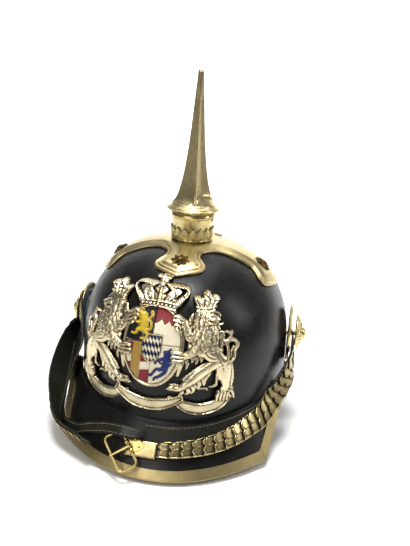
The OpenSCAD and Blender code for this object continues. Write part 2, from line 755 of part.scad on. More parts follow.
module boss(side)
  on_side(side, boss_face) rotate_extrude($fn = 64) polygon([
    [0, 4], [screw_radius + 0.05, 4], [screw_radius + 0.05, 0], [boss_radius - 1, 0],
    [boss_radius, 0.7], [boss_radius - 0.3, 1.6], [boss_radius - 2.2, 2], [boss_radius - 2.8, 2.8],
    [boss_radius - 5.6, 3.2], [boss_radius - 6.4, 4.3], [boss_radius - 9.4, 4.9], [6, 5.5],
    [4.8, boss_rise + 0.4], [3.4, boss_rise + 1.6], [1.6, boss_rise + 2], [0, boss_rise + 2.1]
  ]);
module boss_left() color([0.84, 0.80, 0.62]) boss(1);
module boss_right() color([0.84, 0.80, 0.62]) boss(-1);

screw_inside = skull_at_boss - skull_wall - 6;
module boss_screws() color([0.72, 0.62, 0.36])
  for (side = [-1, 1])
    on_side(side, screw_inside)
      cylinder(r = screw_radius, h = boss_face + 3.8 - screw_inside, $fn = round_fn);
module boss_nuts() color([0.72, 0.62, 0.36])
  for (side = [-1, 1])
    on_side(side, screw_inside + 1.3) difference() {
      union() {
        translate([-4.5, -4.5, 0]) cube([9, 9, 2.6]);
        translate([0, 0, 2.6]) cylinder(r = 6, h = 0.8, $fn = round_fn);
      }
      translate([0, 0, -1]) cylinder(r = screw_radius + 0.05, h = 6, $fn = round_fn);
    }

// Helmet plate. A place on it is given by u, to the wearer's left of its middle, and w, upwards
// from the middle of the shield, both measured over the skull.

meridian = let (heights = [for (i = [0:60]) mix(rim_height, skull_top - 0.2, 1 - pow(1 - i / 60, 2))],
  ys = [for (z = heights) skull_half_length * shrink(z)])
  [for (i = 0, s = 0; i <= 60; i = i + 1, s = i <= 60
    ? s + norm([ys[i] - ys[i - 1], heights[i] - heights[i - 1]]) : s) [s, heights[i]]];
shield_at = lookup(shield_height, [for (m = meridian) [m[1], m[0]]]);
function plate_point(u, w, lift) =
  let (
    z = lookup(w + shield_at, meridian),
    angle = (u + plate_shift) / (skull_half_width * shrink(z)) * 180 / PI
  )
  wall_point(angle, z, plate_gap + plate_spread * pow(u / 62, 2) + lift);
function plate_normal(u, w) =
  let (
    across = plate_point(u + 1, w, 0) - plate_point(u - 1, w, 0),
    up = plate_point(u, w + 1, 0) - plate_point(u, w - 1, 0)
  )
  unit(cross(across, up));

relief_flat = 0.42;
// Lions, crown and ribbons are drawn for a shield of this half height and grow with it
drawn_half_height = 33;
relief_scale = shield_half_height / drawn_half_height;
// A raised stroke through places [u, w, radius]
module stroke(places, side = 1)
  for (i = [0:len(places) - 2]) hull()
    for (p = [places[i], places[i + 1]] * relief_scale)
      placed(plate_point(side * p.x, p.y, p.z * relief_flat), plate_normal(side * p.x, p.y), [1, 0, 0])
        scale([1, 1, relief_flat]) sphere(r = p.z, $fn = 6);

// One crowned lion that stands upright and holds the shield, on the wearer's left
module lion(side) {
  stroke([[31, 32, 5], [36, 20, 6.5], [38, 10, 8], [39, 2, 7]], side);
  stroke([[30, 40, 4.4], [27, 34, 3.4]], side);
  stroke([[25, 44, 1.6], [31, 48, 2], [37, 47, 1.6]], side);
  stroke([[27, 43, 2.6], [35, 43, 2.6]], side);
  stroke([[33, 20, 4], [25, 22, 3.4], [20, 19, 2.6], [17, 14, 2.4]], side);
  stroke([[35, 8, 3.6], [28, 0, 3], [24, -6, 2.6], [19, -8, 2.8]], side);
  stroke([[40, 0, 7], [44, -9, 7.4], [42, -17, 6]], side);
  stroke([[42, -17, 5], [34, -24, 3.4], [27, -31, 2.8], [21, -34, 2.6]], side);
  stroke([[47, -12, 5.4], [50, -22, 4], [47, -31, 3], [42, -34, 2.6]], side);
  stroke([[48, -10, 2.4], [56, -8, 2], [59, 2, 2], [54, 8, 2], [57, 15, 3]], side);
}

module crown() {
  stroke([[-17, 33, 2.4], [-9, 30.5, 2.8], [0, 29.8, 3], [9, 30.5, 2.8], [17, 33, 2.4]]);
  for (s = [-1, 1]) {
    stroke([[17, 34, 2], [22, 41, 2.4], [19, 48, 2.2], [11, 50, 2], [3, 47, 2]], s);
    stroke([[9, 33, 1.8], [12, 40, 1.8], [8, 46, 1.6]], s);
  }
  stroke([[0, 32, 2], [0, 46, 2.2]]);
  stroke([[0, 50, 3.2], [0, 58, 1.6]]);
  stroke([[-3.6, 56, 1.4], [3.6, 56, 1.4]]);
}

// Place on an oval that lies some millimetres outside the shield's outline
function oval_place(angle, over, lift, share = 1) =
  let (half = [shield_half_width + over, shield_half_height + over] * share)
  plate_point(half.x * cos(angle), half.y * sin(angle), lift);
// Strap that runs round the shield and joins the crown, the lions and the ribbons to one piece
module shield_frame() {
  angles = [for (i = [0:31]) 11.25 * i];
  sheet(
    [for (a = angles) [oval_place(a, 5.5, 0.8), oval_place(a, 0.4, 1.4)]],
    [for (a = angles) [oval_place(a, 5.5, 0), oval_place(a, 0.4, 0)]],
    wrap = true
  );
}
// Clear space for the shield inside the plate
module shield_space() {
  angles = [for (i = [0:31]) 11.25 * i];
  sheet(
    [for (a = angles) [oval_place(a, 0.35, 12), oval_place(a, 0.35, 12, 0.02)]],
    [for (a = angles) [oval_place(a, 0.35, -6), oval_place(a, 0.35, -6, 0.02)]],
    wrap = true
  );
}

// A ribbon that hangs in a curve between two ends
module festoon(middle, half, high, sag, tilt) {
  ribbon = 5.4 * relief_scale;
  function line(f) = [middle + half * f, high - sag * (1 - f * f) + tilt * f] * relief_scale;
  function place(f, across, lift) =
    let (a = line(f - 0.02), b = line(f + 0.02), d = unit(b - a), p = line(f) + [-d.y, d.x] * across * ribbon)
    plate_point(p.x, p.y, lift);
  across = [-1, -0.72, 0, 0.72, 1];
  steps = [for (i = [-6:6]) i / 6];
  sheet(
    [for (f = steps) [for (a = across) place(f, a, abs(a) < 0.5 ? 1.3 : abs(a) < 0.9 ? 1.4 : 2.3)]],
    [for (f = steps) [for (a = across) place(f, a, 0)]]
  );
}

module helmet_plate() color([0.86, 0.83, 0.68]) difference() {
  union() {
    lion(1);
    lion(-1);
    crown();
    shield_frame();
    festoon(0, 22, -42, 9, 0);
    festoon(42, 21, -33, 15, 4);
    festoon(-42, 21, -33, 15, -4);
  }
  shield_space();
}

// Oval shield with a raised rim and enamel laid in its floor

floor_lift = 1;
oval_share = 0.88;
module shield_rim() {
  angles = [for (i = [0:39]) 9 * i];
  // Share of the oval's size and height over the plate's back
  profile = [[1, 2], [0.985, 3], [0.94, 3], [0.915, floor_lift], [0.5, floor_lift], [0.04, floor_lift]];
  color([0.86, 0.83, 0.68]) sheet(
    [for (a = angles) [for (p = profile) oval_place(a, 0, p[1], p[0])]],
    [for (a = angles) [for (p = profile) oval_place(a, 0, 0, p[0])]],
    wrap = true
  );
}
// Half width of the enamel at a height
function oval_at(w) =
  shield_half_width * oval_share * sqrt(max(1 - pow(w / (shield_half_height * oval_share), 2), 0.0004));
// An enamel field between two heights, from one side to the other
module field(low, high, from, to, base = 0.15, top = 0.9) {
  ws = [for (i = [0:4]) mix(low, high, i / 4)];
  fs = [0, 0.33, 0.67, 1];
  function place(w, f, lift) = plate_point(mix(from(w), to(w), f), w, floor_lift + lift);
  sheet(
    [for (f = fs) [for (w = ws) place(w, f, top)]],
    [for (f = fs) [for (w = ws) place(w, f, base)]]
  );
}
enamel_top = shield_half_height * oval_share - 0.2;
cell_gap = 0.5;
chief_low = 14;
pale_left = -15.5;
pale_right = -9;
inner_half_width = 8.5;
function at_middle_left(w) = -cell_gap / 2;
function at_middle_right(w) = cell_gap / 2;
function at_rim_left(w) = -oval_at(w);
function at_rim_right(w) = oval_at(w);
function at_inner(w) = inner_half_width * sqrt(clamp((w + 10) / 7, 0, 1));
module enamel_black() color([0.05, 0.05, 0.05])
  field(cell_gap, enamel_top, function(w) at_rim_left(w), function(w) at_middle_left(w));
module enamel_red() color([0.72, 0.12, 0.12]) {
  field(chief_low, enamel_top, function(w) at_middle_right(w), function(w) at_rim_right(w));
  field(-enamel_top, -cell_gap,
    function(w) max(pale_right + cell_gap, -oval_at(w) + 0.1), function(w) at_middle_left(w));
  field(-20, -cell_gap, function(w) at_rim_left(w), function(w) pale_left);
}
module enamel_white() color([0.93, 0.91, 0.84]) {
  field(cell_gap, chief_low - cell_gap, function(w) at_middle_right(w), function(w) at_rim_right(w));
  field(-enamel_top, -cell_gap, function(w) at_middle_right(w), function(w) at_rim_right(w));
}
module enamel_gold() color([0.78, 0.62, 0.15])
  field(-25.5, -cell_gap, function(w) max(pale_left + cell_gap, -oval_at(w)), function(w) pale_right);
// Small shield over the middle of the four fields
module enamel_blue() color([0.15, 0.25, 0.55])
  field(-9, 8, function(w) -at_inner(w), function(w) at_inner(w), base = 1.1, top = 1.9);

post_places = [[38, 4], [-38, 4], [0, 31]];
post_radius = 1.6;
post_reach = 9;
module plate_posts() color([0.86, 0.83, 0.68])
  for (p = post_places)
    placed(plate_point(p.x, p.y, -0.1), plate_normal(p.x, p.y), [1, 0, 0])
      translate([0, 0, -post_reach]) cylinder(r = post_radius, h = post_reach, $fn = 32);
module plate_post_holes()
  for (p = post_places)
    placed(plate_point(p.x, p.y, 0), plate_normal(p.x, p.y), [1, 0, 0])
      translate([0, 0, -post_reach]) cylinder(r = post_radius + 0.3, h = post_reach + 4, $fn = 32);
module plate_nuts() color([0.72, 0.62, 0.36])
  for (p = post_places)
    placed(plate_point(p.x, p.y, -0.1), plate_normal(p.x, p.y), [1, 0, 0])
      translate([0, 0, -plate_gap - plate_spread * pow(p.x / 62, 2) - skull_wall - 3.2]) difference() {
        translate([-3.5, -3.5, 0]) cube([7, 7, 2]);
        translate([0, 0, -1]) cylinder(r = post_radius + 0.05, h = 4, $fn = 32);
      }

// Liner: a sweatband inside the rim and leather tongues that carry the helmet on the head

band_face = -skull_wall - 0.8;
tongue_wall = 1;
module sweatband() {
  angles = [for (i = [0:47]) 7.5 * i];
  rows = [0, 0.33, 0.67, 1];
  function place(a, f, offset) = wall_point(a, rim_at(a) + 1 + sweatband_height * f, offset);
  color([0.35, 0.22, 0.13]) sheet(
    [for (a = angles) [for (f = rows) place(a, f, band_face)]],
    [for (a = angles) [for (f = rows) place(a, f, band_face - sweatband_wall)]],
    wrap = true
  );
}
module liner_tongues() {
  pitch = 360 / tongue_count;
  start = band_face - sweatband_wall - 0.6;
  steps = [for (i = [0:6]) i / 6];
  // From the sweatband up the wall, then in over the head
  function tongue_line(a) =
    let (
      tip = [tip_radius * sin(a), -tip_radius * 1.25 * cos(a), tongue_tip_height],
      root = rim_at(a) + sweatband_height
    )
    [
      wall_point(a, root - 7, start),
      wall_point(a, root, start),
      wall_point(a, root + 8, start - 2.5),
      mix(wall_point(a, root + 6, start - 4), tip, 0.42) + [0, 0, 9],
      tip
    ];
  function place(a, side, f, depth) =
    let (
      p = through(tongue_line(a), f),
      half = pitch * 0.42 * (1 - 0.55 * f * f),
      q = through(tongue_line(a + side * half), f)
    )
    q + unit([-p.x, -p.y, -60 * f]) * depth;
  color([0.45, 0.30, 0.18])
    for (i = [0:tongue_count - 1])
      sheet(
        [for (side = [-1, -0.4, 0.4, 1]) [for (f = steps) place(pitch * (i + 0.5), side, f, 0)]],
        [for (side = [-1, -0.4, 0.4, 1]) [for (f = steps) place(pitch * (i + 0.5), side, f, tongue_wall)]]
      );
}

// Chin strap. Each half is a band from the boss to the buckle, given by its lower and upper edge
// on the leather's under side.

strap_down = unit([0, -0.82, -0.57]);
strap_up = unit([0, -0.57, 0.82]);
strap_half = scale_width_boss / 2 + 0.5;
function boss_pair(side, along, out) =
  let (c = [side * (strap_face + out), 0, boss_height] + strap_down * along)
  [c - strap_up * strap_half, c + strap_up * strap_half];
function visor_pair(t, low, high) = [over_visor(t, low, strap_seat), over_visor(t, high, strap_seat)];
left_band = [
  boss_pair(1, 8, 0),
  boss_pair(1, 27, 0.4),
  [visor_end + [3, -4, 1], wall_point(front_end_angle * 0.86, rim_at(70) + 15, 4.5)],
  [over_visor(0.74, 0.62, strap_seat), over_visor(0.74, 0, strap_seat + 0.5)],
  visor_pair(0.6, 0.5, 0.03),
  visor_pair(0.45, 0.58, 0.05),
  visor_pair(0.3, 0.62, 0.08),
  visor_pair(0.12, 0.64, 0.1),
  visor_pair(-0.08, 0.66, 0.1)
];
bulge_x = -visor_end_out - strap_bulge;
right_band = [
  boss_pair(-1, 8, 0),
  boss_pair(-1, 17, 0.3),
  [[bulge_x + 11, -25, boss_height - 30], [bulge_x + 4.5, -33, boss_height - 10]],
  [[bulge_x + 12.5, -42, boss_height - 42], [bulge_x, -48, boss_height - 25]],
  [[bulge_x + 16, -62, boss_height - 53], [bulge_x + 1, -66, boss_height - 39]],
  [[-corner_out - 2, 12 - corner_forward, 18.5], [-corner_out - 13, 8 - corner_forward, 32]],
  [[6 - corner_out, -4 - corner_forward, 12], [-corner_out, -13 - corner_forward, 26]],
  [over_visor(-0.47, 0.8, 2), over_visor(-0.47, 0.8, 2) + [-2, -10, 11]],
  [over_visor(-0.36, 0.74, 2), over_visor(-0.36, 0.74, 2) + [-1, -11, 9]]
];
function band_at(band, f) =
  let (low = through([for (s = band) s[0]], f), high = through([for (s = band) s[1]], f))
  [low, high];
// Point on a band, some millimetres up from its lower edge and over its under side
function band_frame(band, side, f) =
  let (
    e = 0.004,
    here = band_at(band, f),
    before = band_at(band, max(f - e, 0)),
    after = band_at(band, min(f + e, 1)),
    along = unit(after[0] + after[1] - before[0] - before[1]),
    across = unit(here[1] - here[0]),
    out = unit(cross(across, along)) * side
  )
  [here[0], along, across, out, norm(here[1] - here[0])];
function band_point(band, side, f, up, lift) =
  let (b = band_frame(band, side, f)) b[0] + b[2] * up + b[3] * lift;
// Distance along a band's middle for each place f
band_steps = 120;
function band_lengths(band) =
  let (middles = [for (i = [0:band_steps]) let (b = band_at(band, i / band_steps)) (b[0] + b[1]) / 2])
  [for (i = 0, s = 0; i <= band_steps; i = i + 1, s = i <= band_steps
    ? s + norm(middles[i] - middles[i - 1]) : s) [s, i / band_steps]];

module strap_leather(band, side) {
  steps = [for (i = [0:36]) i / 36];
  rows = [0, 0.5, 1];
  function place(f, r, lift) =
    let (b = band_frame(band, side, f)) b[0] + b[2] * b[4] * r + b[3] * lift;
  ordered = side > 0 ? rows : [1, 0.5, 0];
  sheet(
    [for (f = steps) [for (r = [1 - ordered[0], 1 - ordered[1], 1 - ordered[2]]) place(f, r, strap_leather)]],
    [for (f = steps) [for (r = [1 - ordered[0], 1 - ordered[1], 1 - ordered[2]]) place(f, r, 0)]]
  );
}
module strap_leather_left() color([0.12, 0.11, 0.08]) strap_leather(left_band, 1);
module strap_leather_right() color([0.12, 0.11, 0.08]) strap_leather(right_band, -1);

scale_tilt = 0.14;
scale_back = 6;
scale_front = 5;
scale_start = 12;
// Bare band left after the last scale of each half
bare_left = 14;
bare_right = 9;
// Front edge of a scale: a pointed lower corner and two round lobes. Each pair gives a share of the
// width, up from the lower edge, and how far the edge stands back there.
scale_edge = [[0, 0], [0.13, 1.8], [0.3, 0.9], [0.5, 2.4], [0.7, 0.6], [0.87, 1.3], [1, 2.8]];
// Each scale follows the band and lies over the back of the next one
module scales(band, side, count, bare) {
  lengths = band_lengths(band);
  length = lengths[band_steps][0];
  pitch = (length - scale_start - scale_back - scale_front - bare) / (count - 1);
  function place(i, along, up, lift) =
    let (
      s = scale_start + scale_back + i * pitch + along,
      w = mix(scale_width_boss, scale_width_end, i / (count - 1))
    )
    band_point(band, side, lookup(s, lengths), 0.3 + w * up,
      strap_leather + 0.5 + (along + scale_back) * scale_tilt + lift);
  edge = side > 0 ? scale_edge : [for (k = [len(scale_edge) - 1:-1:0]) scale_edge[k]];
  function column(i, k, lift) = [
    for (along = [-scale_back, -1, scale_front - edge[k][1]]) place(i, along, edge[k][0], lift)
  ];
  for (i = [0:count - 1])
    sheet(
      [for (k = [len(edge) - 1:-1:0]) column(i, k, scale_metal)],
      [for (k = [len(edge) - 1:-1:0]) column(i, k, 0)]
    );
}
module scales_left() color([0.79, 0.72, 0.48]) 
  scales(left_band, 1, scale_count_left, bare_left);
module scales_right() color([0.79, 0.72, 0.48]) 
  scales(right_band, -1, scale_count_right, bare_right);

// Eye of the strap, which turns on the boss screw
module strap_lug(side)
  color([0.72, 0.62, 0.36]) on_side(side, lug_face) difference() {
    union() {
      cylinder(r = 8, h = lug_metal, $fn = round_fn);
      rotate([0, 0, side > 0 ? -55 : -125]) translate([0, -5, 0]) cube([18, 10, lug_metal]);
    }
    translate([0, 0, -1]) cylinder(r = screw_radius + 0.06, h = 4, $fn = round_fn);
  }
module strap_lug_left() strap_lug(1);
module strap_lug_right() strap_lug(-1);

// Plain plate that ends the left row of scales and carries the buckle
end_plate_length = 24;
end_plate_metal = 1;
end_plate_at =
  let (
    t = 0.025,
    v = 0.53,
    n = visor_normal(t, v),
    d = visor_point(t - 0.08, v) - visor_point(t + 0.02, v)
  )
  [over_visor(t, v, strap_seat + strap_leather + 0.5), unit(d - n * (d * n)), n];
module scale_end_plate() color([0.79, 0.72, 0.48])
  placed(end_plate_at[0], end_plate_at[2], end_plate_at[1])
    translate([0, -scale_width_end / 2, 0]) cube([end_plate_length, scale_width_end, end_plate_metal]);

// Buckle: a wire frame set askew, its prong and the tab that holds it to the end plate
buckle_turn = 36;
buckle_ring = 0.8;
bar_fit = 0.06;
// How far the middle of the buckle's bar lies back from the end of the plate
bar_overlap = 3;
buckle_bar =
  let (b = end_plate_at)
  b[0] + b[1] * (end_plate_length - bar_overlap)
    + b[2] * (end_plate_metal + 0.15 + buckle_wire + buckle_ring);
function buckle_x() =
  let (b = end_plate_at, y = cross(b[2], b[1])) b[1] * cos(buckle_turn) + y * sin(buckle_turn);
module in_buckle()
  placed(buckle_bar + buckle_x() * buckle_width / 2, end_plate_at[2], buckle_x()) children();
module buckle_frame() color([0.85, 0.70, 0.36])
  in_buckle() {
    for (s = [-1, 1]) {
      translate([s * buckle_width / 2, 0, 0]) rotate([90, 0, 0])
        cylinder(r = buckle_wire, h = buckle_length, center = true, $fn = 24);
      translate([0, s * buckle_length / 2, 0]) rotate([0, 90, 0])
        cylinder(r = buckle_wire, h = buckle_width, center = true, $fn = 24);
      for (q = [-1, 1])
        translate([s * buckle_width / 2, q * buckle_length / 2, 0]) sphere(r = buckle_wire, $fn = 24);
    }
  }
module bar_ring(width)
  rotate([90, 0, 0]) difference() {
    cylinder(r = buckle_wire + buckle_ring, h = width, center = true, $fn = 32);
    cylinder(r = buckle_wire + bar_fit, h = width + 2, center = true, $fn = 32);
  }
module buckle_prong() color([0.85, 0.70, 0.36])
  in_buckle() translate([-buckle_width / 2, 0, 0]) {
    bar_ring(3);
    translate([0, -1, buckle_wire + bar_fit]) cube([buckle_width + 2, 2, buckle_ring - bar_fit]);
  }
module buckle_tab() color([0.85, 0.70, 0.36])
  in_buckle() translate([-buckle_width / 2, 0, 0]) {
    for (s = [-1, 1]) translate([0, s * 3.8, 0]) bar_ring(3.4);
    difference() {
      translate([-9, -5.5, -buckle_wire - buckle_ring]) cube([9, 11, buckle_ring - bar_fit]);
      translate([-4, -2.1, -buckle_wire - 2]) cube([9, 4.2, 4]);
    }
  }

// Loose end of the strap leather, which goes on from the right half and loops over the buckle
tongue_leather = 1.2;
tongue_band = [
  [over_visor(-0.6, 0.7, 8), over_visor(-0.6, 0.5, 11)],
  [over_visor(-0.48, 0.66, 10), over_visor(-0.48, 0.44, 12)],
  [over_visor(-0.38, 0.56, 12), over_visor(-0.38, 0.35, 13)],
  [over_visor(-0.28, 0.5, 13), over_visor(-0.28, 0.3, 12.5)],
  [over_visor(-0.18, 0.46, 15.5), over_visor(-0.18, 0.26, 13)],
  [over_visor(-0.1, 0.42, 12), over_visor(-0.1, 0.24, 9.5)],
  [over_visor(-0.06, 0.36, 8), over_visor(-0.06, 0.2, 7)]
];
module strap_tongue() {
  steps = [for (i = [0:24]) i / 24];
  rows = [0, 0.5, 1];
  function place(f, r, lift) =
    let (b = band_frame(tongue_band, -1, f)) b[0] + b[2] * b[4] * r + b[3] * lift;
  color([0.12, 0.11, 0.08]) sheet(
    [for (f = steps) [for (r = rows) place(f, r, tongue_leather)]],
    [for (f = steps) [for (r = rows) place(f, r, 0)]]
  );
}

skull();
front_visor();
front_visor_trim();
rear_visor();
rear_spine();
spine_studs();
cross_base();
star_studs();
star_stud_nuts();
spike_neck();
leaf_band();
spike_socket();
seat_ring();
spike_flange();
spike_point();
spike_stud();
cockade_left();
cockade_right();
cockade_rim_left();
cockade_rim_right();
boss_left();
boss_right();
boss_screws();
boss_nuts();
helmet_plate();
shield_rim();
enamel_black();
enamel_red();
enamel_white();
enamel_gold();
enamel_blue();
plate_posts();
plate_nuts();
sweatband();
liner_tongues();
strap_leather_left();
strap_leather_right();
scales_left();
scales_right();
strap_lug_left();
strap_lug_right();
scale_end_plate();
buckle_frame();
buckle_prong();
strap_tongue();
buckle_tab();
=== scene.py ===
import math

import bpy
import numpy as np
from mathutils import Matrix, Vector

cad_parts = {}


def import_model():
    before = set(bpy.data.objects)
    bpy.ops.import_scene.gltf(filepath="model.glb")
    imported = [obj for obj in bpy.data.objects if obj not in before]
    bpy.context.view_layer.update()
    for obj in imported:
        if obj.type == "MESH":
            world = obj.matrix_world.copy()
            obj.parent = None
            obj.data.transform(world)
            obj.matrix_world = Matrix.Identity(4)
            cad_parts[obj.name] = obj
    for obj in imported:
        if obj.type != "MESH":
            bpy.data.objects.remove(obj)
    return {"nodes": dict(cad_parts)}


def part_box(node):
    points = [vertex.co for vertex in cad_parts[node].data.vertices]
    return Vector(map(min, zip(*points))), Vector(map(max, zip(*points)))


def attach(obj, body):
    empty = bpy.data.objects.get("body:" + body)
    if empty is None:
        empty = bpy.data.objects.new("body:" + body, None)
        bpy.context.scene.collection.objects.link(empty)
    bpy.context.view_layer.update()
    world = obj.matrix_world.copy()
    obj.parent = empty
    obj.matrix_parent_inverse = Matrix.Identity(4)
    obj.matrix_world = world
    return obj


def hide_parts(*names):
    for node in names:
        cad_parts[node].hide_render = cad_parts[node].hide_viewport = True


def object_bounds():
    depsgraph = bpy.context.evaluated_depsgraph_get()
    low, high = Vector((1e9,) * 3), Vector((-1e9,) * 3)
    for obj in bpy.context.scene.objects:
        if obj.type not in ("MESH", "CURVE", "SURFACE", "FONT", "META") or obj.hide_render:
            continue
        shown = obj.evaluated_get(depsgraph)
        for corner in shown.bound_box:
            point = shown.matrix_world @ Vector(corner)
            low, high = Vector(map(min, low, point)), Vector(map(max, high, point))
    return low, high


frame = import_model()
cad_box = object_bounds()
MM = 0.001

# Camera

CAMERA_TURN = math.radians(9.4)
CAMERA_HEIGHT = math.radians(20.0)
CAMERA_ROLL = math.radians(3.3)
CAMERA_DISTANCE = 0.645
CAMERA_TARGET = Vector((0, 0, 0.110))
CAMERA_LENS = 47.47
CAMERA_SHIFT = (0.0297, 0.0302)


def add_camera():
    data = bpy.data.cameras.new("camera")
    camera = bpy.data.objects.new("camera", data)
    bpy.context.scene.collection.objects.link(camera)
    back = Vector((
        math.sin(CAMERA_TURN) * math.cos(CAMERA_HEIGHT),
        -math.cos(CAMERA_TURN) * math.cos(CAMERA_HEIGHT),
        math.sin(CAMERA_HEIGHT),
    ))
    turn = back.to_track_quat("Z", "Y").to_matrix().to_4x4()
    roll = Matrix.Rotation(CAMERA_ROLL, 4, "Z")
    camera.matrix_world = Matrix.Translation(CAMERA_TARGET + back * CAMERA_DISTANCE) @ turn @ roll
    data.sensor_width = 36
    data.sensor_fit = "AUTO"
    data.lens = CAMERA_LENS
    data.shift_x, data.shift_y = CAMERA_SHIFT
    data.clip_start, data.clip_end = 0.01, 50
    bpy.context.scene.camera = camera


add_camera()

# Sizes shared with the CAD source

SKULL = np.array([91.0, 109.5])  # half width, half length
SKULL_TOP, SHOULDER, WALL = 155.5, 64.0, 3.0
POWER = 2.4
RIM, RIM_ARCH = 36.0, 8.0
SEAT_GAP = 0.3
VISOR_WALL = 2.4
CORNER = np.array([86.0, -93.0, 6.8])
VISOR_MIDDLE = np.array([0.0, -140.6, 3.6])
VISOR_END = np.array([95.0, -31.0, 48.0])
CORNER_SHARE = 0.62
FRONT_END = math.degrees(math.acos(-VISOR_END[1] / SKULL[1]))
REAR_END, REAR_REACH = 82.0, 148.0
TRIM_WIDTH, TRIM_RETURN = 8.0, 5.0
NECK_BOTTOM, NECK_HEIGHT = 158.5, 23.0
NECK_RADIUS, NECK_TOP_RADIUS, NECK_BORE = 17.1, 18.8, 15.7
FLANGE_BOTTOM, FLANGE_RADIUS, FLANGE_HEIGHT = 182.4, 23.5, 6.4
POINT_BOTTOM, SPIKE_LENGTH = 188.85, 111.0
SPIKE_SET = 14.0  # degrees from the front to one of the ridges, as the screwed spike stands
BOSS_Z = 81.0
SHIELD_Z, SHIELD_HALF = 101.0, np.array([24.0, 33.0])
PLATE_SHIFT, PLATE_GAP, PLATE_SPREAD = -6.0, 0.5, 2.5

rng = np.random.default_rng(7)


def unit(v):
    v = np.asarray(v, float)
    return v / np.maximum(np.linalg.norm(v, axis=-1, keepdims=True), 1e-12)


def mix(a, b, t):
    return a * (1 - t) + b * t


def smooth(x, low=0.0, high=1.0):
    t = np.clip((np.asarray(x, float) - low) / (high - low), 0, 1)
    return t * t * (3 - 2 * t)


def bell(x, at, width):
    """A soft bump of height 1."""
    return np.exp(-((x - at) / width) ** 2)


def plateau(x, foot, start, end, last):
    """1 from start to end, with soft slopes down to 0 at foot and last."""
    return smooth(x, foot, start) * smooth(x, last, end)


def vec(*parts):
    """Points from coordinates that may be grids."""
    return np.stack(np.broadcast_arrays(*[np.asarray(p, float) for p in parts]), -1)


def around(count):
    """Angles of evenly spaced places round a circle."""
    return 2 * np.pi * np.arange(count) / count


def lengths_of(*steps):
    """Length along a line up to each of its points, from the steps of its coordinates."""
    return np.concatenate([[0], np.cumsum(np.sqrt(sum(s**2 for s in steps)))])


def shrink(z, offset=0.0):
    t = np.clip((np.asarray(z, float) - SHOULDER) / (SKULL_TOP + offset - SHOULDER), 0, 1)
    return (1 - t**POWER) ** (1 / POWER)


def wall_point(angle, z, offset=0.0):
    """Point of the shell's outside at an angle from the front and a height, moved outwards by offset."""
    a = np.radians(angle)
    k = shrink(z, offset)
    return vec((SKULL[0] + offset) * k * np.sin(a), -(SKULL[1] + offset) * k * np.cos(a), z)


def rise_point(angle, rise, offset=0.0):
    """The same over the dome, with the height as an angle of rise."""
    a, r = np.radians(angle), np.radians(rise)
    k = np.cos(r) ** (2 / POWER)
    z = SHOULDER + (SKULL_TOP + offset - SHOULDER) * np.sin(r) ** (2 / POWER)
    return vec((SKULL[0] + offset) * k * np.sin(a), -(SKULL[1] + offset) * k * np.cos(a), z)


def rim_at(angle):
    return RIM + RIM_ARCH * np.sin(np.radians(angle)) ** 2


def dome_height(x, y):
    r = np.minimum(np.hypot(x / SKULL[0], y / SKULL[1]), 1)
    return SHOULDER + (SKULL_TOP - SHOULDER) * (1 - r**POWER) ** (1 / POWER)


def dome_normal(x, y):
    e = 0.5
    return unit(vec(dome_height(x - e, y) - dome_height(x + e, y),
                    dome_height(x, y - e) - dome_height(x, y + e), 2 * e))


# Meshes

def new_mesh(name, points, faces, material, body, nodes=(), slot=None, sharp=35, marks=None):
    """Adds a piece from points in millimetres. marks picks each face's material from a list."""
    data = bpy.data.meshes.new(name)
    data.from_pydata((np.asarray(points, float).reshape(-1, 3) * MM).tolist(), [],
                     [list(map(int, f)) for f in faces])
    data.validate()
    data.shade_smooth()
    if sharp:
        data.set_sharp_from_angle(angle=math.radians(sharp))
    piece = bpy.data.objects.new(name, data)
    bpy.context.scene.collection.objects.link(piece)
    for m in material if isinstance(material, (list, tuple)) else [material]:
        data.materials.append(m)
    if marks is not None:
        data.polygons.foreach_set("material_index", np.asarray(marks, np.int32))
    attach(piece, body)
    if nodes:
        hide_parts(*([nodes] if isinstance(nodes, str) else nodes))
    return piece


def grid_faces(columns, rows, wrap=False, start=0, flip=False):
    c = np.arange(columns if wrap else columns - 1)[:, None]
    r = np.arange(rows - 1)[None, :]
    a = c * rows + r
    b = ((c + 1) % columns) * rows + r
    quads = np.stack([a, b, b + 1, a + 1], -1).reshape(-1, 4) + start
    return quads[:, ::-1] if flip else quads


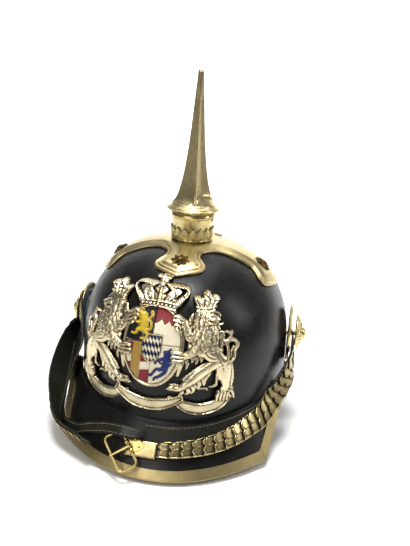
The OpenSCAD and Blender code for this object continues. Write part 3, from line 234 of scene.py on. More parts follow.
class Parts:
    """Gathers points and faces of several solids for one piece."""

    def __init__(self):
        self.points, self.faces, self.marks, self.count = [], [], [], 0

    def add(self, points, faces, marks=None):
        """Adds a solid. marks picks a face's material, where the piece has several."""
        points = np.asarray(points, float).reshape(-1, 3)
        self.points.append(points)
        self.faces.extend([[int(i) + self.count for i in f] for f in faces])
        self.marks.extend([0] * len(faces) if marks is None else marks)
        self.count += len(points)

    def shell(self, upper, lower, wrap=False):
        """A closed thin body between two grids [column][row]. Its upper faces have mark 0, the rest 1."""
        columns, rows = upper.shape[:2]
        n = columns * rows
        faces = [grid_faces(columns, rows, wrap), grid_faces(columns, rows, wrap, n, True)]
        c = np.arange(columns if wrap else columns - 1)
        d = (c + 1) % columns
        faces.append(np.stack([d * rows, c * rows, n + c * rows, n + d * rows], -1))
        e, f = c * rows + rows - 1, d * rows + rows - 1
        faces.append(np.stack([e, f, n + f, n + e], -1))
        if not wrap:
            r = np.arange(rows - 1)
            faces.append(np.stack([r, r + 1, n + r + 1, n + r], -1))
            r = r + (columns - 1) * rows
            faces.append(np.stack([r + 1, r, n + r, n + r + 1], -1))
        marks = np.repeat([0, 1], [len(faces[0]), sum(map(len, faces[1:]))])
        self.add(np.concatenate([upper.reshape(-1, 3), lower.reshape(-1, 3)]), np.concatenate(faces), marks)

    def strip(self, line, across, up, section, foot):
        """A strip along a line, from a section [across, up] down to a flat foot."""
        upper = np.stack([line + across * w + up * h for w, h in section], 1)
        lower = np.stack([line + across * w + up * foot for w, _ in section], 1)
        self.shell(upper, lower)

    def piece(self, name, material, body, nodes=(), slot=None, sharp=35):
        marks = self.marks if isinstance(material, (list, tuple)) else None
        return new_mesh(name, np.concatenate(self.points), self.faces, material, body, nodes, slot, sharp,
                        marks)


def through(points, t):
    """A smooth line through points [k][...], at t from 0 to 1."""
    points = np.asarray(points, float)
    spans = len(points) - 1
    t = np.asarray(t, float)
    i = np.minimum(np.floor(t * spans).astype(int), spans - 1)
    f = (t * spans - i).reshape(t.shape + (1,) * (points.ndim - 1))
    p0, p1 = points[np.maximum(i - 1, 0)], points[i]
    p2, p3 = points[i + 1], points[np.minimum(i + 2, spans)]
    return (p1 * 2 + (p2 - p0) * f + (p0 * 2 - p1 * 5 + p2 * 4 - p3) * f * f
            + (p1 * 3 - p0 - p2 * 3 + p3) * f**3) / 2


def frame_of(z, x):
    """Axes as columns of a matrix, with z as given and x near the one given."""
    z = unit(z)
    y = unit(np.cross(z, x))
    return np.stack([np.cross(y, z), y, z], -1)


def tube(parts, line, radius, sides):
    """A round tube along points, closed at both ends."""
    line = np.asarray(line, float)
    along = unit(np.gradient(line, axis=0))
    across = np.array([0.0, 0.0, 1.0])
    if abs(along[0] @ across) > 0.9:
        across = np.array([1.0, 0.0, 0.0])
    a = around(sides)
    rings = []
    for p, d in zip(line, along):
        across = unit(across - d * (across @ d))
        ring = np.cos(a)[:, None] * across + np.sin(a)[:, None] * np.cross(d, across)
        rings.append((p + radius * ring)[::-1])
    start = np.arange(len(line) - 1)[:, None] * sides
    here = np.arange(sides)[None, :]
    after = (here + 1) % sides
    quads = np.stack([start + here, start + sides + here, start + sides + after, start + after], -1)
    first = np.arange(sides)
    last = (first + (len(line) - 1) * sides)[::-1]
    parts.add(rings, [*quads.reshape(-1, 4), first, last])


def turned(parts, profile, segments, place, turn, shape=None, close=False):
    """A turned form from a profile [radius, height]. shape(angle, radius, height) may change it."""
    profile = np.asarray(profile, float)
    count = len(profile)
    a = around(segments)
    r = np.broadcast_to(profile[None, :, 0], (segments, count))
    h = np.broadcast_to(profile[None, :, 1], (segments, count))
    if shape is not None:
        r, h = shape(a[:, None], r, h)
    local = vec(r * np.cos(a)[:, None], r * np.sin(a)[:, None], h)
    faces = grid_faces(segments, count, True)
    if close:
        first = np.arange(segments) * count
        last = first + count - 1
        closing = np.stack([last, np.roll(last, -1), np.roll(first, -1), first], -1)
        faces = np.concatenate([faces, closing])
    parts.add(local @ turn.T + place, faces)


def fine(profile, step):
    """The same profile with more points, and its corners left sharp."""
    out = [profile[0]]
    for p, q in zip(profile[:-1], profile[1:]):
        n = max(1, int(math.hypot(q[0] - p[0], q[1] - p[1]) / step))
        out += [[mix(p[0], q[0], i / n), mix(p[1], q[1], i / n)] for i in range(1, n + 1)]
    return np.array(out)


def rounded(profile, size, steps=4):
    """A profile with its inner corners rounded off."""
    profile = [np.asarray(p, float) for p in profile]
    out = [profile[0]]
    for a, b, c in zip(profile[:-2], profile[1:-1], profile[2:]):
        ka = min(size, np.linalg.norm(a - b) * 0.45)
        kc = min(size, np.linalg.norm(c - b) * 0.45)
        p, q = b + unit(a - b) * ka, b + unit(c - b) * kc
        out += [mix(mix(p, b, t), mix(b, q, t), t) for t in np.linspace(0, 1, steps + 1)]
    out.append(profile[-1])
    return np.array(out)


def moulded(profile, step=0.4, size=0.3):
    """A profile in short steps, with softened corners."""
    return rounded(fine(profile, step), size)


def wobble(p, size, seed=0, terms=7):
    """Smooth small unevenness at points, the same on every run."""
    draw = np.random.default_rng(seed)
    total = 0
    for _ in range(terms):
        k = draw.normal(size=3) / size
        total = total + np.sin(p @ k + draw.uniform(0, 2 * np.pi))
    return total / math.sqrt(terms)


# Materials

class Shader:
    """A node material that is written as nested calls."""

    def __init__(self, name):
        self.material = bpy.data.materials.new(name)
        self.material.use_nodes = True
        self.tree = self.material.node_tree
        self.shader = self.tree.nodes["Principled BSDF"]
        self.place = self.node("ShaderNodeTexCoord").outputs["Object"]

    def node(self, kind, inputs=None, **settings):
        n = self.tree.nodes.new(kind)
        for key, value in settings.items():
            setattr(n, key, value)
        for key, value in (inputs or {}).items():
            self.set(n.inputs[key], value)
        return n

    def set(self, socket, value):
        if isinstance(value, bpy.types.NodeSocket):
            self.tree.links.new(value, socket)
        else:
            four = hasattr(socket.default_value, "__len__") and len(socket.default_value) == 4
            socket.default_value = (*value, 1) if four and len(value) == 3 else value

    def noise(self, scale, detail=3, rough=0.5, vector=None, distortion=0.0):
        inputs = {"Vector": vector or self.place, "Scale": scale, "Detail": detail, "Roughness": rough,
                  "Distortion": distortion}
        return self.node("ShaderNodeTexNoise", inputs).outputs["Fac"]

    def cells(self, scale, feature="F1", vector=None):
        inputs = {"Vector": vector or self.place, "Scale": scale}
        return self.node("ShaderNodeTexVoronoi", inputs, feature=feature).outputs["Distance"]

    def stretched(self, x, y, z):
        return self.node("ShaderNodeMapping", {"Vector": self.place, "Scale": (x, y, z)}).outputs[0]

    def ramp(self, value, *stops):
        n = self.node("ShaderNodeValToRGB", {"Fac": value})
        ramp = n.color_ramp
        while len(ramp.elements) < len(stops):
            ramp.elements.new(0.5)
        for e, (at, level) in zip(ramp.elements, stops):
            e.position = at
            e.color = (*level, 1) if hasattr(level, "__len__") else (level, level, level, 1)
        return n.outputs["Color"]

    def patches(self, noise, low, high, most=1.0):
        """0 where the noise is low, and most where it is high."""
        return self.ramp(noise, (low, 0.0), (high, most))

    def math(self, how, a, b):
        n = self.node("ShaderNodeMath", operation=how)
        self.set(n.inputs[0], a)
        self.set(n.inputs[1], b)
        return n.outputs[0]

    def times(self, a, b):
        return self.math("MULTIPLY", a, b)

    def plus(self, a, b):
        return self.math("ADD", a, b)

    def blend(self, amount, a, b):
        n = self.node("ShaderNodeMix", data_type="RGBA", clamp_factor=True)
        self.set(n.inputs[0], amount)
        self.set(n.inputs[6], a)
        self.set(n.inputs[7], b)
        return n.outputs[2]

    def attribute(self, name):
        return self.node("ShaderNodeAttribute", attribute_name=name).outputs["Fac"]

    def bump(self, height, distance, strength=1.0, normal=None):
        inputs = {"Height": height, "Distance": distance, "Strength": strength}
        if normal is not None:
            inputs["Normal"] = normal
        return self.node("ShaderNodeBump", inputs).outputs["Normal"]

    def finish(self, **inputs):
        names = {"color": "Base Color", "rough": "Roughness", "metal": "Metallic", "normal": "Normal",
                 "coat": "Coat Weight", "coat_rough": "Coat Roughness", "specular": "Specular IOR Level"}
        for key, value in inputs.items():
            self.set(self.shader.inputs[names[key]], value)
        return self.material


def metal(name, bright, dull, rough, tarnish=0.4, brushed=0.0, dents=0.0, cavity=False):
    """Old polished or brushed metal: cloudy tarnish, fine scratches, pits, and, where cavity is set, painted
    shade in the hollows.
    """
    s = Shader(name)
    clouds = s.patches(s.noise(70, 5, 0.62, distortion=0.4), 0.38, 0.72)
    specks = s.patches(s.noise(1400, 2, 0.6), 0.60, 0.74)
    fade = s.times(clouds, tarnish)
    color = s.blend(fade, bright, dull)
    color = s.blend(s.times(specks, 0.35), color, tuple(c * 0.35 for c in dull))
    # Painted shade: the hollows and under faces that the 'hollow' attribute marks are darkened
    if cavity:
        color = s.blend(s.attribute("hollow"), color, tuple(c * 0.16 for c in dull))
    scratch = s.noise(240, 4, 0.7, vector=s.stretched(1.0, 5.0, 22.0))
    hairs = s.noise(900, 2, 0.6, vector=s.stretched(9.0, 1.0, 1.0))
    height = s.plus(s.times(scratch, 0.5 + brushed), s.times(hairs, 0.4))
    level = s.plus(s.times(fade, 0.22), s.times(scratch, 0.10))
    roughness = s.plus(level, rough - 0.04)
    normal = s.bump(height, 0.00002 * (1 + 2 * brushed), 0.5)
    if dents:
        normal = s.bump(s.noise(55, 2, 0.5), dents, 0.7, normal)
    return s.finish(color=color, metal=1.0, rough=roughness, normal=normal)


def black_leather(name, tint, rough, grain=0.5, waxed=False):
    """Lacquered leather: gloss over fine grain, shallow hollows, hair cracks and worn brown specks."""
    s = Shader(name)
    grain_height = s.cells(1500, "SMOOTH_F1")
    pores = s.noise(2600, 3, 0.6)
    waves = s.noise(45, 3, 0.5)
    cracks = s.cells(160, "DISTANCE_TO_EDGE", vector=s.stretched(1.0, 1.0, 0.5))
    crack_line = s.ramp(cracks, (0.0, 1.0), (0.018, 0.0))
    where = s.patches(s.noise(30, 3, 0.55), 0.52, 0.66)
    crack = s.times(crack_line, where)
    wear = s.patches(s.noise(420, 4, 0.68, distortion=0.6), 0.66, 0.74)
    wear = s.times(wear, s.patches(s.noise(22, 3, 0.6), 0.45, 0.7, 0.55))
    dust = s.patches(s.noise(160, 5, 0.65), 0.35, 0.8)
    color = s.blend(s.times(dust, 0.35), tint, tuple(c * 2.2 + 0.004 for c in tint))
    color = s.blend(wear, color, (0.055, 0.036, 0.022))
    color = s.blend(s.times(crack, 0.6), color, (0.004, 0.0035, 0.003))
    roughness = s.plus(s.times(dust, 0.16), rough)
    roughness = s.plus(roughness, s.times(wear, 0.3))
    surface = s.plus(s.times(grain_height, grain), s.times(pores, 0.4))
    surface = s.math("SUBTRACT", surface, s.times(crack, 0.8))
    normal = s.bump(surface, 0.00005, 0.35)
    hollows, coat, specular = (0.0003, 0.0, 0.18) if waxed else (0.0006, 0.03, 0.22)
    normal = s.bump(waves, hollows, 0.5, normal)
    return s.finish(color=color, rough=roughness, normal=normal, coat=coat, coat_rough=0.16,
                    specular=specular)


def brown_leather(name, dark, light):
    """Unlacquered liner leather: pores, mottled sweat marks and creases."""
    s = Shader(name)
    mottle = s.patches(s.noise(60, 5, 0.6, distortion=0.8), 0.32, 0.7)
    pores = s.cells(1900, "SMOOTH_F1")
    crease = s.noise(120, 4, 0.6, vector=s.stretched(1.0, 1.0, 0.3))
    stain = s.patches(s.noise(18, 3, 0.5), 0.5, 0.68, 0.6)
    color = s.blend(mottle, dark, light)
    color = s.blend(stain, color, tuple(c * 0.45 for c in dark))
    height = s.plus(s.times(pores, 0.5), s.times(crease, 1.2))
    roughness = s.plus(s.times(mottle, -0.12), 0.62)
    return s.finish(color=color, rough=roughness, normal=s.bump(height, 0.00012, 0.6))


def enamel(name, color, deep):
    """Fired glass enamel: deep gloss with small bubbles and uneven depth."""
    s = Shader(name)
    depth = s.patches(s.noise(190, 4, 0.6), 0.3, 0.75)
    bubbles = s.ramp(s.cells(1500), (0.0, 1.0), (0.10, 0.0))
    base = s.blend(s.times(depth, 0.5), color, deep)
    base = s.blend(s.times(bubbles, 0.35), base, tuple(c * 0.4 for c in deep))
    height = s.math("SUBTRACT", s.noise(260, 2, 0.5), s.times(bubbles, 0.4))
    rough = s.plus(s.times(depth, 0.1), 0.30)
    return s.finish(color=base, rough=rough, normal=s.bump(height, 0.00006, 0.5), coat=0.12,
                    coat_rough=0.12, specular=0.3)


def paint(name, color, worn):
    """Lacquer on stamped metal, rubbed through in places."""
    s = Shader(name)
    chips = s.patches(s.noise(500, 5, 0.7, distortion=0.5), 0.68, 0.72)
    dirt_and_shade = s.patches(s.noise(130, 5, 0.6), 0.35, 0.8)
    base = s.blend(s.times(dirt_and_shade, 0.3), color, worn)
    base = s.blend(s.times(chips, 0.6), base, (0.42, 0.38, 0.28))
    rough = s.plus(s.times(dirt_and_shade, 0.2), 0.3)
    return s.finish(color=base, rough=rough, normal=s.bump(s.noise(700, 3, 0.6), 0.00004, 0.4))


def thread(name, color):
    """Twisted linen thread."""
    s = Shader(name)
    twist = s.node("ShaderNodeTexWave", {"Vector": s.place, "Scale": 900.0, "Distortion": 2.0})
    tone = s.noise(900, 3, 0.6)
    shade = s.blend(tone, color, tuple(c * 0.45 for c in color))
    return s.finish(color=shade, rough=0.8, normal=s.bump(twist.outputs["Fac"], 0.0001, 0.6))


SILVER_GILT = metal("silver_gilt", (0.66, 0.53, 0.25), (0.36, 0.27, 0.09), 0.21, tarnish=0.4, dents=0.00012)
SPIKE_GILT = metal("spike_gilt", (0.84, 0.68, 0.36), (0.42, 0.32, 0.12), 0.22, tarnish=0.4)
PLATE_METAL = metal("plate_metal", (0.80, 0.69, 0.46), (0.50, 0.40, 0.20), 0.24, tarnish=0.4, cavity=True)
LEAF_GILT = metal("leaf_gilt", (0.68, 0.56, 0.27), (0.38, 0.29, 0.10), 0.22, tarnish=0.45, cavity=True)
TRIM_BRASS = metal("trim_brass", (0.44, 0.35, 0.17), (0.28, 0.21, 0.09), 0.38, tarnish=0.6, brushed=1.0)
SCALE_BRASS = metal("scale_brass", (0.56, 0.45, 0.23), (0.30, 0.23, 0.09), 0.27, tarnish=0.6, cavity=True)
STAR_BRASS = metal("star_brass", (0.11, 0.068, 0.02), (0.04, 0.025, 0.008), 0.40, tarnish=0.6)
CROSS_GILT = metal("cross_gilt", (0.58, 0.47, 0.24), (0.40, 0.31, 0.13), 0.32, tarnish=0.25)
BRIGHT_BRASS = metal("bright_brass", (0.58, 0.43, 0.16), (0.40, 0.28, 0.08), 0.20, tarnish=0.45)
HIDDEN_BRASS = metal("hidden_brass", (0.55, 0.45, 0.24), (0.28, 0.21, 0.10), 0.4, tarnish=0.7, brushed=0.6)
BLACK_LEATHER = black_leather("black_leather", (0.0065, 0.0062, 0.0052), 0.27)
UNDER_LEATHER = black_leather("under_leather", (0.014, 0.011, 0.008), 0.46, 0.8)
STRAP_LEATHER_LOOK = black_leather("strap_leather", (0.010, 0.0105, 0.007), 0.40, 0.9, waxed=True)
LINER_LEATHER = brown_leather("liner_leather", (0.16, 0.085, 0.04), (0.30, 0.18, 0.09))
ENAMEL = {
    "black": enamel("enamel_black", (0.006, 0.006, 0.007), (0.012, 0.012, 0.012)),
    "red": enamel("enamel_red", (0.24, 0.008, 0.014), (0.15, 0.005, 0.009)),
    "white": enamel("enamel_white", (0.84, 0.76, 0.56), (0.70, 0.60, 0.42)),
    "gold": enamel("enamel_gold", (0.40, 0.24, 0.045), (0.30, 0.17, 0.03)),
    "lion": enamel("enamel_lion_gold", (0.66, 0.46, 0.03), (0.40, 0.26, 0.02)),
    "blue": enamel("enamel_blue", (0.014, 0.024, 0.15), (0.007, 0.011, 0.06)),
    "dark_blue": enamel("enamel_dark_blue", (0.008, 0.012, 0.06), (0.005, 0.007, 0.03)),
}
PAINT_BLACK = paint("paint_black", (0.015, 0.014, 0.014), (0.05, 0.045, 0.04))
PAINT_WHITE = paint("paint_white", (0.74, 0.73, 0.68), (0.5, 0.46, 0.36))
PAINT_RED = paint("paint_red", (0.42, 0.04, 0.035), (0.25, 0.03, 0.02))
PAINT_BLUE = paint("paint_blue", (0.16, 0.30, 0.55), (0.10, 0.17, 0.30))
BLACK_THREAD = thread("black_thread", (0.03, 0.026, 0.02))
PALE_THREAD = thread("pale_thread", (0.30, 0.24, 0.15))


def dress(material, *names):
    """Gives CAD nodes that stay a procedural finish."""
    for name in names:
        piece = frame["nodes"][name]
        piece.data.materials.clear()
        piece.data.materials.append(material)


# Skull

SKULL_LIFT = 0.3


def build_skull():
    turns = np.linspace(0, 360, 288, endpoint=False)
    rises = np.concatenate([np.linspace(0, 60, 44)[1:], np.linspace(61.5, 86.5, 22)])
    angles, shares = np.meshgrid(turns, np.linspace(0, 1, 12), indexing="ij")
    high_angles, rises = np.meshgrid(turns, rises, indexing="ij")

    def face(offset):
        low = wall_point(angles, mix(rim_at(angles), SHOULDER, shares), offset)
        return np.concatenate([low, rise_point(high_angles, rises, offset)], 1)

    outer, inner = face(0.0), face(-WALL)
    outward = unit(outer * [1, 0.7, 0.4] - [0, 0, 20])
    outer = outer + outward * (wobble(outer, 24, 1) * 0.10 + wobble(outer, 9, 2) * 0.025)[..., None]
    # The cut lower edge ends a little above the CAD's
    for layer in (outer, inner):
        layer[:, 0, 2] += SKULL_LIFT
    parts = Parts()
    parts.shell(outer, inner, wrap=True)
    return parts.piece("skull_shell", BLACK_LEATHER, "helmet", "skull", "black_leather")


# Visors

def seam_point(t):
    """Where the front visor meets the shell, at t from -1 to 1 across."""
    a = FRONT_END * np.asarray(t, float)
    return wall_point(a, rim_at(a) + VISOR_WALL, SEAT_GAP)


def edge_point(t):
    """The front visor's free edge, square-cut with a corner on each side."""
    t = np.asarray(t, float)
    side = np.sign(t)
    f = np.minimum(np.abs(t) / CORNER_SHARE, 1)
    g = np.maximum((np.abs(t) - CORNER_SHARE) / (1 - CORNER_SHARE), 0)[..., None]
    curve = f**2.1
    front = vec(CORNER[0] * f, mix(VISOR_MIDDLE[1], CORNER[1], curve), mix(VISOR_MIDDLE[2], CORNER[2], curve))
    p = mix(front, VISOR_END, g)
    return p * vec(side, np.ones_like(side), np.ones_like(side))


def visor_point(t, v):
    """The front visor's upper side, at v from 0 at the seam to 1 at the edge."""
    t, v = np.broadcast_arrays(np.asarray(t, float), np.asarray(v, float))
    return mix(seam_point(t), edge_point(t), v[..., None])


def normal_of(point, t, v):
    """Outward normal of a surface point(t, v)."""
    e = 0.01
    a, v = np.broadcast_arrays(np.clip(t, -1 + e, 1 - e), np.asarray(v, float))
    return unit(np.cross(point(a + e, v) - point(a - e, v), point(a, v - e) - point(a, v + e)))


def visor_normal(t, v):
    return normal_of(visor_point, t, v)


def over_visor(t, v, lift):
    lift = np.asarray(lift, float)
    return visor_point(t, v) + visor_normal(t, v) * (lift[..., None] if lift.ndim else lift)


def above_ground(p, least=0.0):
    p = p.copy()
    p[..., 2] = np.maximum(p[..., 2], least)
    return p


VISOR_T = np.concatenate([
    -np.linspace(1, CORNER_SHARE, 40, endpoint=False),
    np.linspace(-CORNER_SHARE, CORNER_SHARE, 121),
    np.linspace(CORNER_SHARE, 1, 41)[1:],
])


def build_front_visor():
    v = np.concatenate([[1.0, 0.99], np.linspace(0.96, 0.04, 24), [0.015, 0.0]])
    t, v = np.meshgrid(VISOR_T, v, indexing="ij")
    upper = visor_point(t, v)
    n = visor_normal(t, v)
    upper = upper + n * (wobble(upper, 20, 3) * 0.05 * smooth(v, 0, 0.1) * smooth(1 - v, 0, 0.1))[..., None]
    down = unit(mix(np.array([0, 0, 1.0]), n, np.clip(v * 6, 0, 1)[..., None]))
    lower = above_ground(visor_point(t, v) - down * VISOR_WALL)
    parts = Parts()
    parts.shell(upper, lower)
    return parts.piece("front_visor_leather", [BLACK_LEATHER, UNDER_LEATHER], "helmet", "front_visor",
                       "black_leather")


def stitch_row(parts, points, normals, length, width, height):
    """Short raised stitches along a line of points on a surface, each with pressed-in ends."""
    along = unit(np.gradient(points, axis=0))
    for p, d, n in zip(points, along, normals):
        line = [p + d * length * s + n * (height * (1 - s * s * 3.4)) for s in (-0.5, -0.3, 0, 0.3, 0.5)]
        tube(parts, line, width / 2, 6)


def seam_stitches():
    parts = Parts()
    for line, normal, count in ((visor_point, visor_normal, 118), (rear_point, rear_normal, 104)):
        t = np.linspace(-0.97, 0.97, count)
        a, b = line(t, 0.0), line(t, 1.0)
        v = 3.2 / np.maximum(np.linalg.norm(b - a, axis=1), 20)
        stitch_row(parts, line(t, v), normal(t, v), 2.1, 0.7, 0.28)
    return parts.piece("visor_stitches", BLACK_THREAD, "helmet", slot="black_leather")


def edge_table():
    """Columns of the trim: place t, edge point, upward normal and direction out of the edge."""
    t = VISOR_T
    p = edge_point(t)
    n = visor_normal(t, 1.0)
    step = np.diff(p, axis=0)
    side = unit(np.cross(step, (n[1:] + n[:-1]) / 2))
    before = np.concatenate([side[:1], side])
    after = np.concatenate([side, side[-1:]])
    out = (before + after) / (1 + (before * after).sum(1))[:, None]
    return t, p, n, out


def lip_places(t, width):
    """Place v on each column that lies a distance inside the edge, measured squarely."""
    fine_t = np.linspace(-1, 1, 801)
    line = edge_point(fine_t)
    v = np.linspace(0.3, 1, 141)
    grid = visor_point(t[:, None], v[None, :])
    a, b = line[:-1], line[1:]
    ab = b - a
    found = np.empty(len(t))
    for i in range(len(t)):
        ap = grid[i][:, None, :] - a[None]
        f = np.clip((ap * ab).sum(-1) / (ab * ab).sum(-1), 0, 1)
        d = np.linalg.norm(ap - f[..., None] * ab, axis=-1).min(1)
        inside = np.where(d >= width)[0]
        found[i] = v[inside[-1]] if len(inside) else 0.6
        if len(inside) and inside[-1] + 1 < len(v):
            k = inside[-1]
            found[i] = mix(v[k], v[k + 1], (d[k] - width) / max(d[k] - d[k + 1], 1e-9))
    return np.maximum(found, 0.6)


def build_trim():
    t, p, n, out = edge_table()
    gap = SEAT_GAP * np.where(np.abs(t) > 0.85, 2.0, 0.6)[:, None]
    metal_wall = 0.7
    top, low = lip_places(t, TRIM_WIDTH), lip_places(t, TRIM_RETURN)

    def layer(extra):
        rows = []
        g = gap + extra
        for k in np.linspace(0, 1, 6):
            v = mix(low, 1.0, k)
            rows.append(visor_point(t, v) - visor_normal(t, v) * (VISOR_WALL + g))
        for a in np.linspace(-80, 80, 9):
            r = VISOR_WALL / 2 + g
            rows.append(p - n * VISOR_WALL / 2 + out * np.cos(math.radians(a)) * g
                        + n * np.sin(math.radians(a)) * r)
        for k in np.linspace(1, 0, 12):
            v = mix(top, 1.0, k)
            rows.append(visor_point(t, v) + visor_normal(t, v) * g)
        # The lip is folded down onto the leather
        if extra:
            v = top - 0.004
            rows.append(visor_point(t, v) + visor_normal(t, v) * (g - 0.45))
        else:
            v = top - 0.002
            rows.append(visor_point(t, v) + visor_normal(t, v) * g * 0.6)
        return np.stack(rows, 1)

    upper, lower = layer(metal_wall), layer(0.0)
    upper = upper + n[:, None, :] * (wobble(upper, 7, 5) * 0.05)[..., None]
    parts = Parts()
    parts.shell(above_ground(upper, 0.0), above_ground(lower, 0.3))
    # The folded seam of each mitred corner
    for s in (-1, 1):
        i = int(np.argmin(np.abs(t - s * CORNER_SHARE)))
        a = visor_point(t[i], 1.0) + n[i] * (gap[i] + metal_wall + 0.05) + out[i] * (gap[i] + 0.3)
        b = visor_point(t[i], top[i]) + n[i] * (gap[i] + metal_wall + 0.05)
        across = unit(np.cross(n[i], b - a))
        section = [(-0.9, -0.1), (-0.75, 0.22), (0, 0.3), (0.75, 0.22), (0.9, -0.1)]
        parts.strip(mix(a, b, np.linspace(0, 1, 12)[:, None]), across, n[i], section, -0.2)
    return parts.piece("visor_trim", TRIM_BRASS, "helmet", "front_visor_trim", "trim_brass")


def rear_seam(t):
    a = 180 + REAR_END * np.asarray(t, float)
    return wall_point(a, rim_at(a) + VISOR_WALL, SEAT_GAP)


def rear_edge(t):
    t = np.asarray(t, float)
    c = np.maximum(np.cos(np.radians(90 * t)), 0)
    flare = mix(4, REAR_REACH - SKULL[1], c**1.3)
    a = np.radians(180 + REAR_END * t)
    x = (SKULL[0] + flare) * np.sin(a)
    y = -(SKULL[1] + flare) * np.cos(a)
    return vec(x, y, (VISOR_WALL - 0.6) + (RIM + RIM_ARCH - 4) * (1 - c) ** 1.5)


def rear_point(t, v):
    t, v = np.broadcast_arrays(np.asarray(t, float), np.asarray(v, float))
    p = mix(rear_seam(t), rear_edge(t), v[..., None])
    hollow = 3 * v * (1 - v) * np.cos(np.radians(90 * t))
    inward = unit(vec(-p[..., 0], -p[..., 1], np.full(t.shape, -20.0)))
    return p + inward * hollow[..., None]


def rear_normal(t, v):
    return normal_of(rear_point, t, v)


def build_rear_visor():
    v = np.concatenate([[1.0, 0.99, 0.975], np.linspace(0.95, 0.04, 26), [0.015, 0.0]])
    t, v = np.meshgrid(np.linspace(-1, 1, 161), v, indexing="ij")
    upper, n = rear_point(t, v), rear_normal(t, v)
    down = unit(mix(np.array([0, 0, 1.0]), n, np.clip(v * 3, 0, 1)[..., None]))
    lower = above_ground(upper - down * VISOR_WALL)
    edge = np.clip((v - 0.975) / 0.025, 0, 1)
    upper = upper - n * (edge**2 * 0.7)[..., None]
    upper = upper + n * (wobble(upper, 20, 4) * 0.05 * (1 - edge) * smooth(v, 0, 0.1))[..., None]
    parts = Parts()
    parts.shell(above_ground(upper, 0.4), lower)
    return parts.piece("rear_visor_leather", [BLACK_LEATHER, UNDER_LEATHER], "helmet", "rear_visor",
                       "black_leather")


build_skull()
build_front_visor()
build_rear_visor()
build_trim()
seam_stitches()

# Spine and cross base

def dome_walk(half):
    """Lengths along the dome from its top, and the distances from the axis that they reach."""
    rise = np.radians(90 - 90 * np.arange(401) / 400)
    x = half * np.cos(rise) ** (2 / POWER)
    z = (SKULL_TOP - SHOULDER) * np.sin(rise) ** (2 / POWER)
    return lengths_of(np.diff(x), np.diff(z)), x


DOME_WALK = [dome_walk(SKULL[1]), dome_walk(SKULL[0])]
CROSS_BORE = 14.6
ARM_REACH = [68.0, 86.0, 68.0, 86.0]
ARM_HALF, SIDE_ARM_HALF, ARM_START = 13.6, 18.6, 22.0
LOBE_HALF, SIDE_LOBE_HALF = 21.0, 25.5
CROSS_SEAT, CROSS_METAL, ARM_CREST = 1.0, 1.0, 1.7
STAR_FROM_TIP, STAR_RADIUS = [18.0, 21.0, 18.0, 21.0], 8.0
LOBE = np.array([[0, 0], [1.3, 0.17], [3.8, 0.40], [7.0, 0.67], [11.0, 0.91],
                 [15.5, 1], [20, 0.97], [24.5, 0.82], [29, 0.68]])


def arm_point(arm, s, side, lift):
    """Point over an arm at a length s from the middle, in the order front, left, back and right."""
    s, side = np.broadcast_arrays(np.asarray(s, float), np.asarray(side, float))
    along = np.interp(s, *DOME_WALK[arm % 2])
    x, y = [(side, -along), (along, side), (-side, along), (-along, -side)][arm]
    n = dome_normal(x, y)
    return vec(x, y, dome_height(x, y)) + n * (lift[..., None] if np.ndim(lift) else lift)


def arm_outline(arm):
    """Half width of an arm at each distance from the middle, with a smooth lobe and a pointed tip."""
    reach = ARM_REACH[arm]
    waist = SIDE_ARM_HALF if arm % 2 else ARM_HALF
    lobe = SIDE_LOBE_HALF if arm % 2 else LOBE_HALF
    excess = ARM_START - waist
    s = [ARM_START, ARM_START + 3, ARM_START + 7, ARM_START + 12]
    w = [ARM_START + 0.3, waist + 0.62 * excess, waist + 0.25 * excess, waist + 0.03 * excess]
    for back, share in LOBE[::-1]:
        s.append(reach - back)
        w.append(share * lobe)
    fine_s = np.linspace(s[0], s[-1], 500)
    rough = np.interp(fine_s, s, w)
    kernel = np.hanning(31)
    kernel /= kernel.sum()
    soft = np.convolve(np.pad(rough, 15, mode="edge"), kernel, "valid")
    keep = smooth(fine_s, s[-1] - 3.5, s[-1] - 0.5)
    start = smooth(fine_s, s[0] + 3, s[0])
    return fine_s, mix(mix(soft, rough, keep), rough, start)


def build_cross():
    parts = Parts()
    inset = np.concatenate([[0, 0.12], np.arange(0.3, 6.4, 0.3), [7.0, 8.0]])
    share = np.concatenate([1 - inset / LOBE_HALF, np.linspace(0.56, 0, 9)])
    share = np.concatenate([share, -share[:-1][::-1]])
    for arm in range(4):
        line_s, line_w = arm_outline(arm)
        reach = ARM_REACH[arm]
        outline = np.stack([np.append(line_s, line_s[::-1]), np.append(line_w, -line_w[::-1])], -1)
        s = np.concatenate([np.linspace(CROSS_BORE, ARM_START + 6, 40, endpoint=False),
                            np.linspace(ARM_START + 6, reach - 12, 76, endpoint=False),
                            reach - np.linspace(12, 0.02, 60)])
        width = np.where(s < ARM_START, s, np.interp(s, line_s, line_w))
        S, F = np.meshgrid(s, share, indexing="ij")
        side = F * width[:, None]
        # Distance to the outline, worked out flat
        d = np.stack([np.linalg.norm(row[:, None] - outline[None], axis=-1).min(1)
                      for row in np.stack([S, side], -1)])
        border = (0.45 * bell(d, 1.5, 0.8) - 0.35 * bell(d, 3.2, 0.6)
                  + 0.40 * bell(d, 4.6, 0.8))
        border *= smooth(S, ARM_START - 4, ARM_START + 1)
        crest = ARM_CREST * smooth(d, 3.6, 9.6)
        round_off = np.clip(d / 0.5, 0, 1) ** 0.5 * CROSS_METAL
        top = arm_point(arm, S, side, CROSS_SEAT + round_off + border + crest)
        f = smooth((np.hypot(top[..., 0], top[..., 1]) - NECK_TOP_RADIUS) / 11)
        top[..., 2] = mix(NECK_BOTTOM - SEAT_GAP, top[..., 2], f)
        low = arm_point(arm, S, side, np.full(S.shape, CROSS_SEAT - 0.3))
        parts.shell(top, low)
    return parts.piece("cross_shell", CROSS_GILT, "helmet", "cross_base", "silver_gilt", sharp=50)


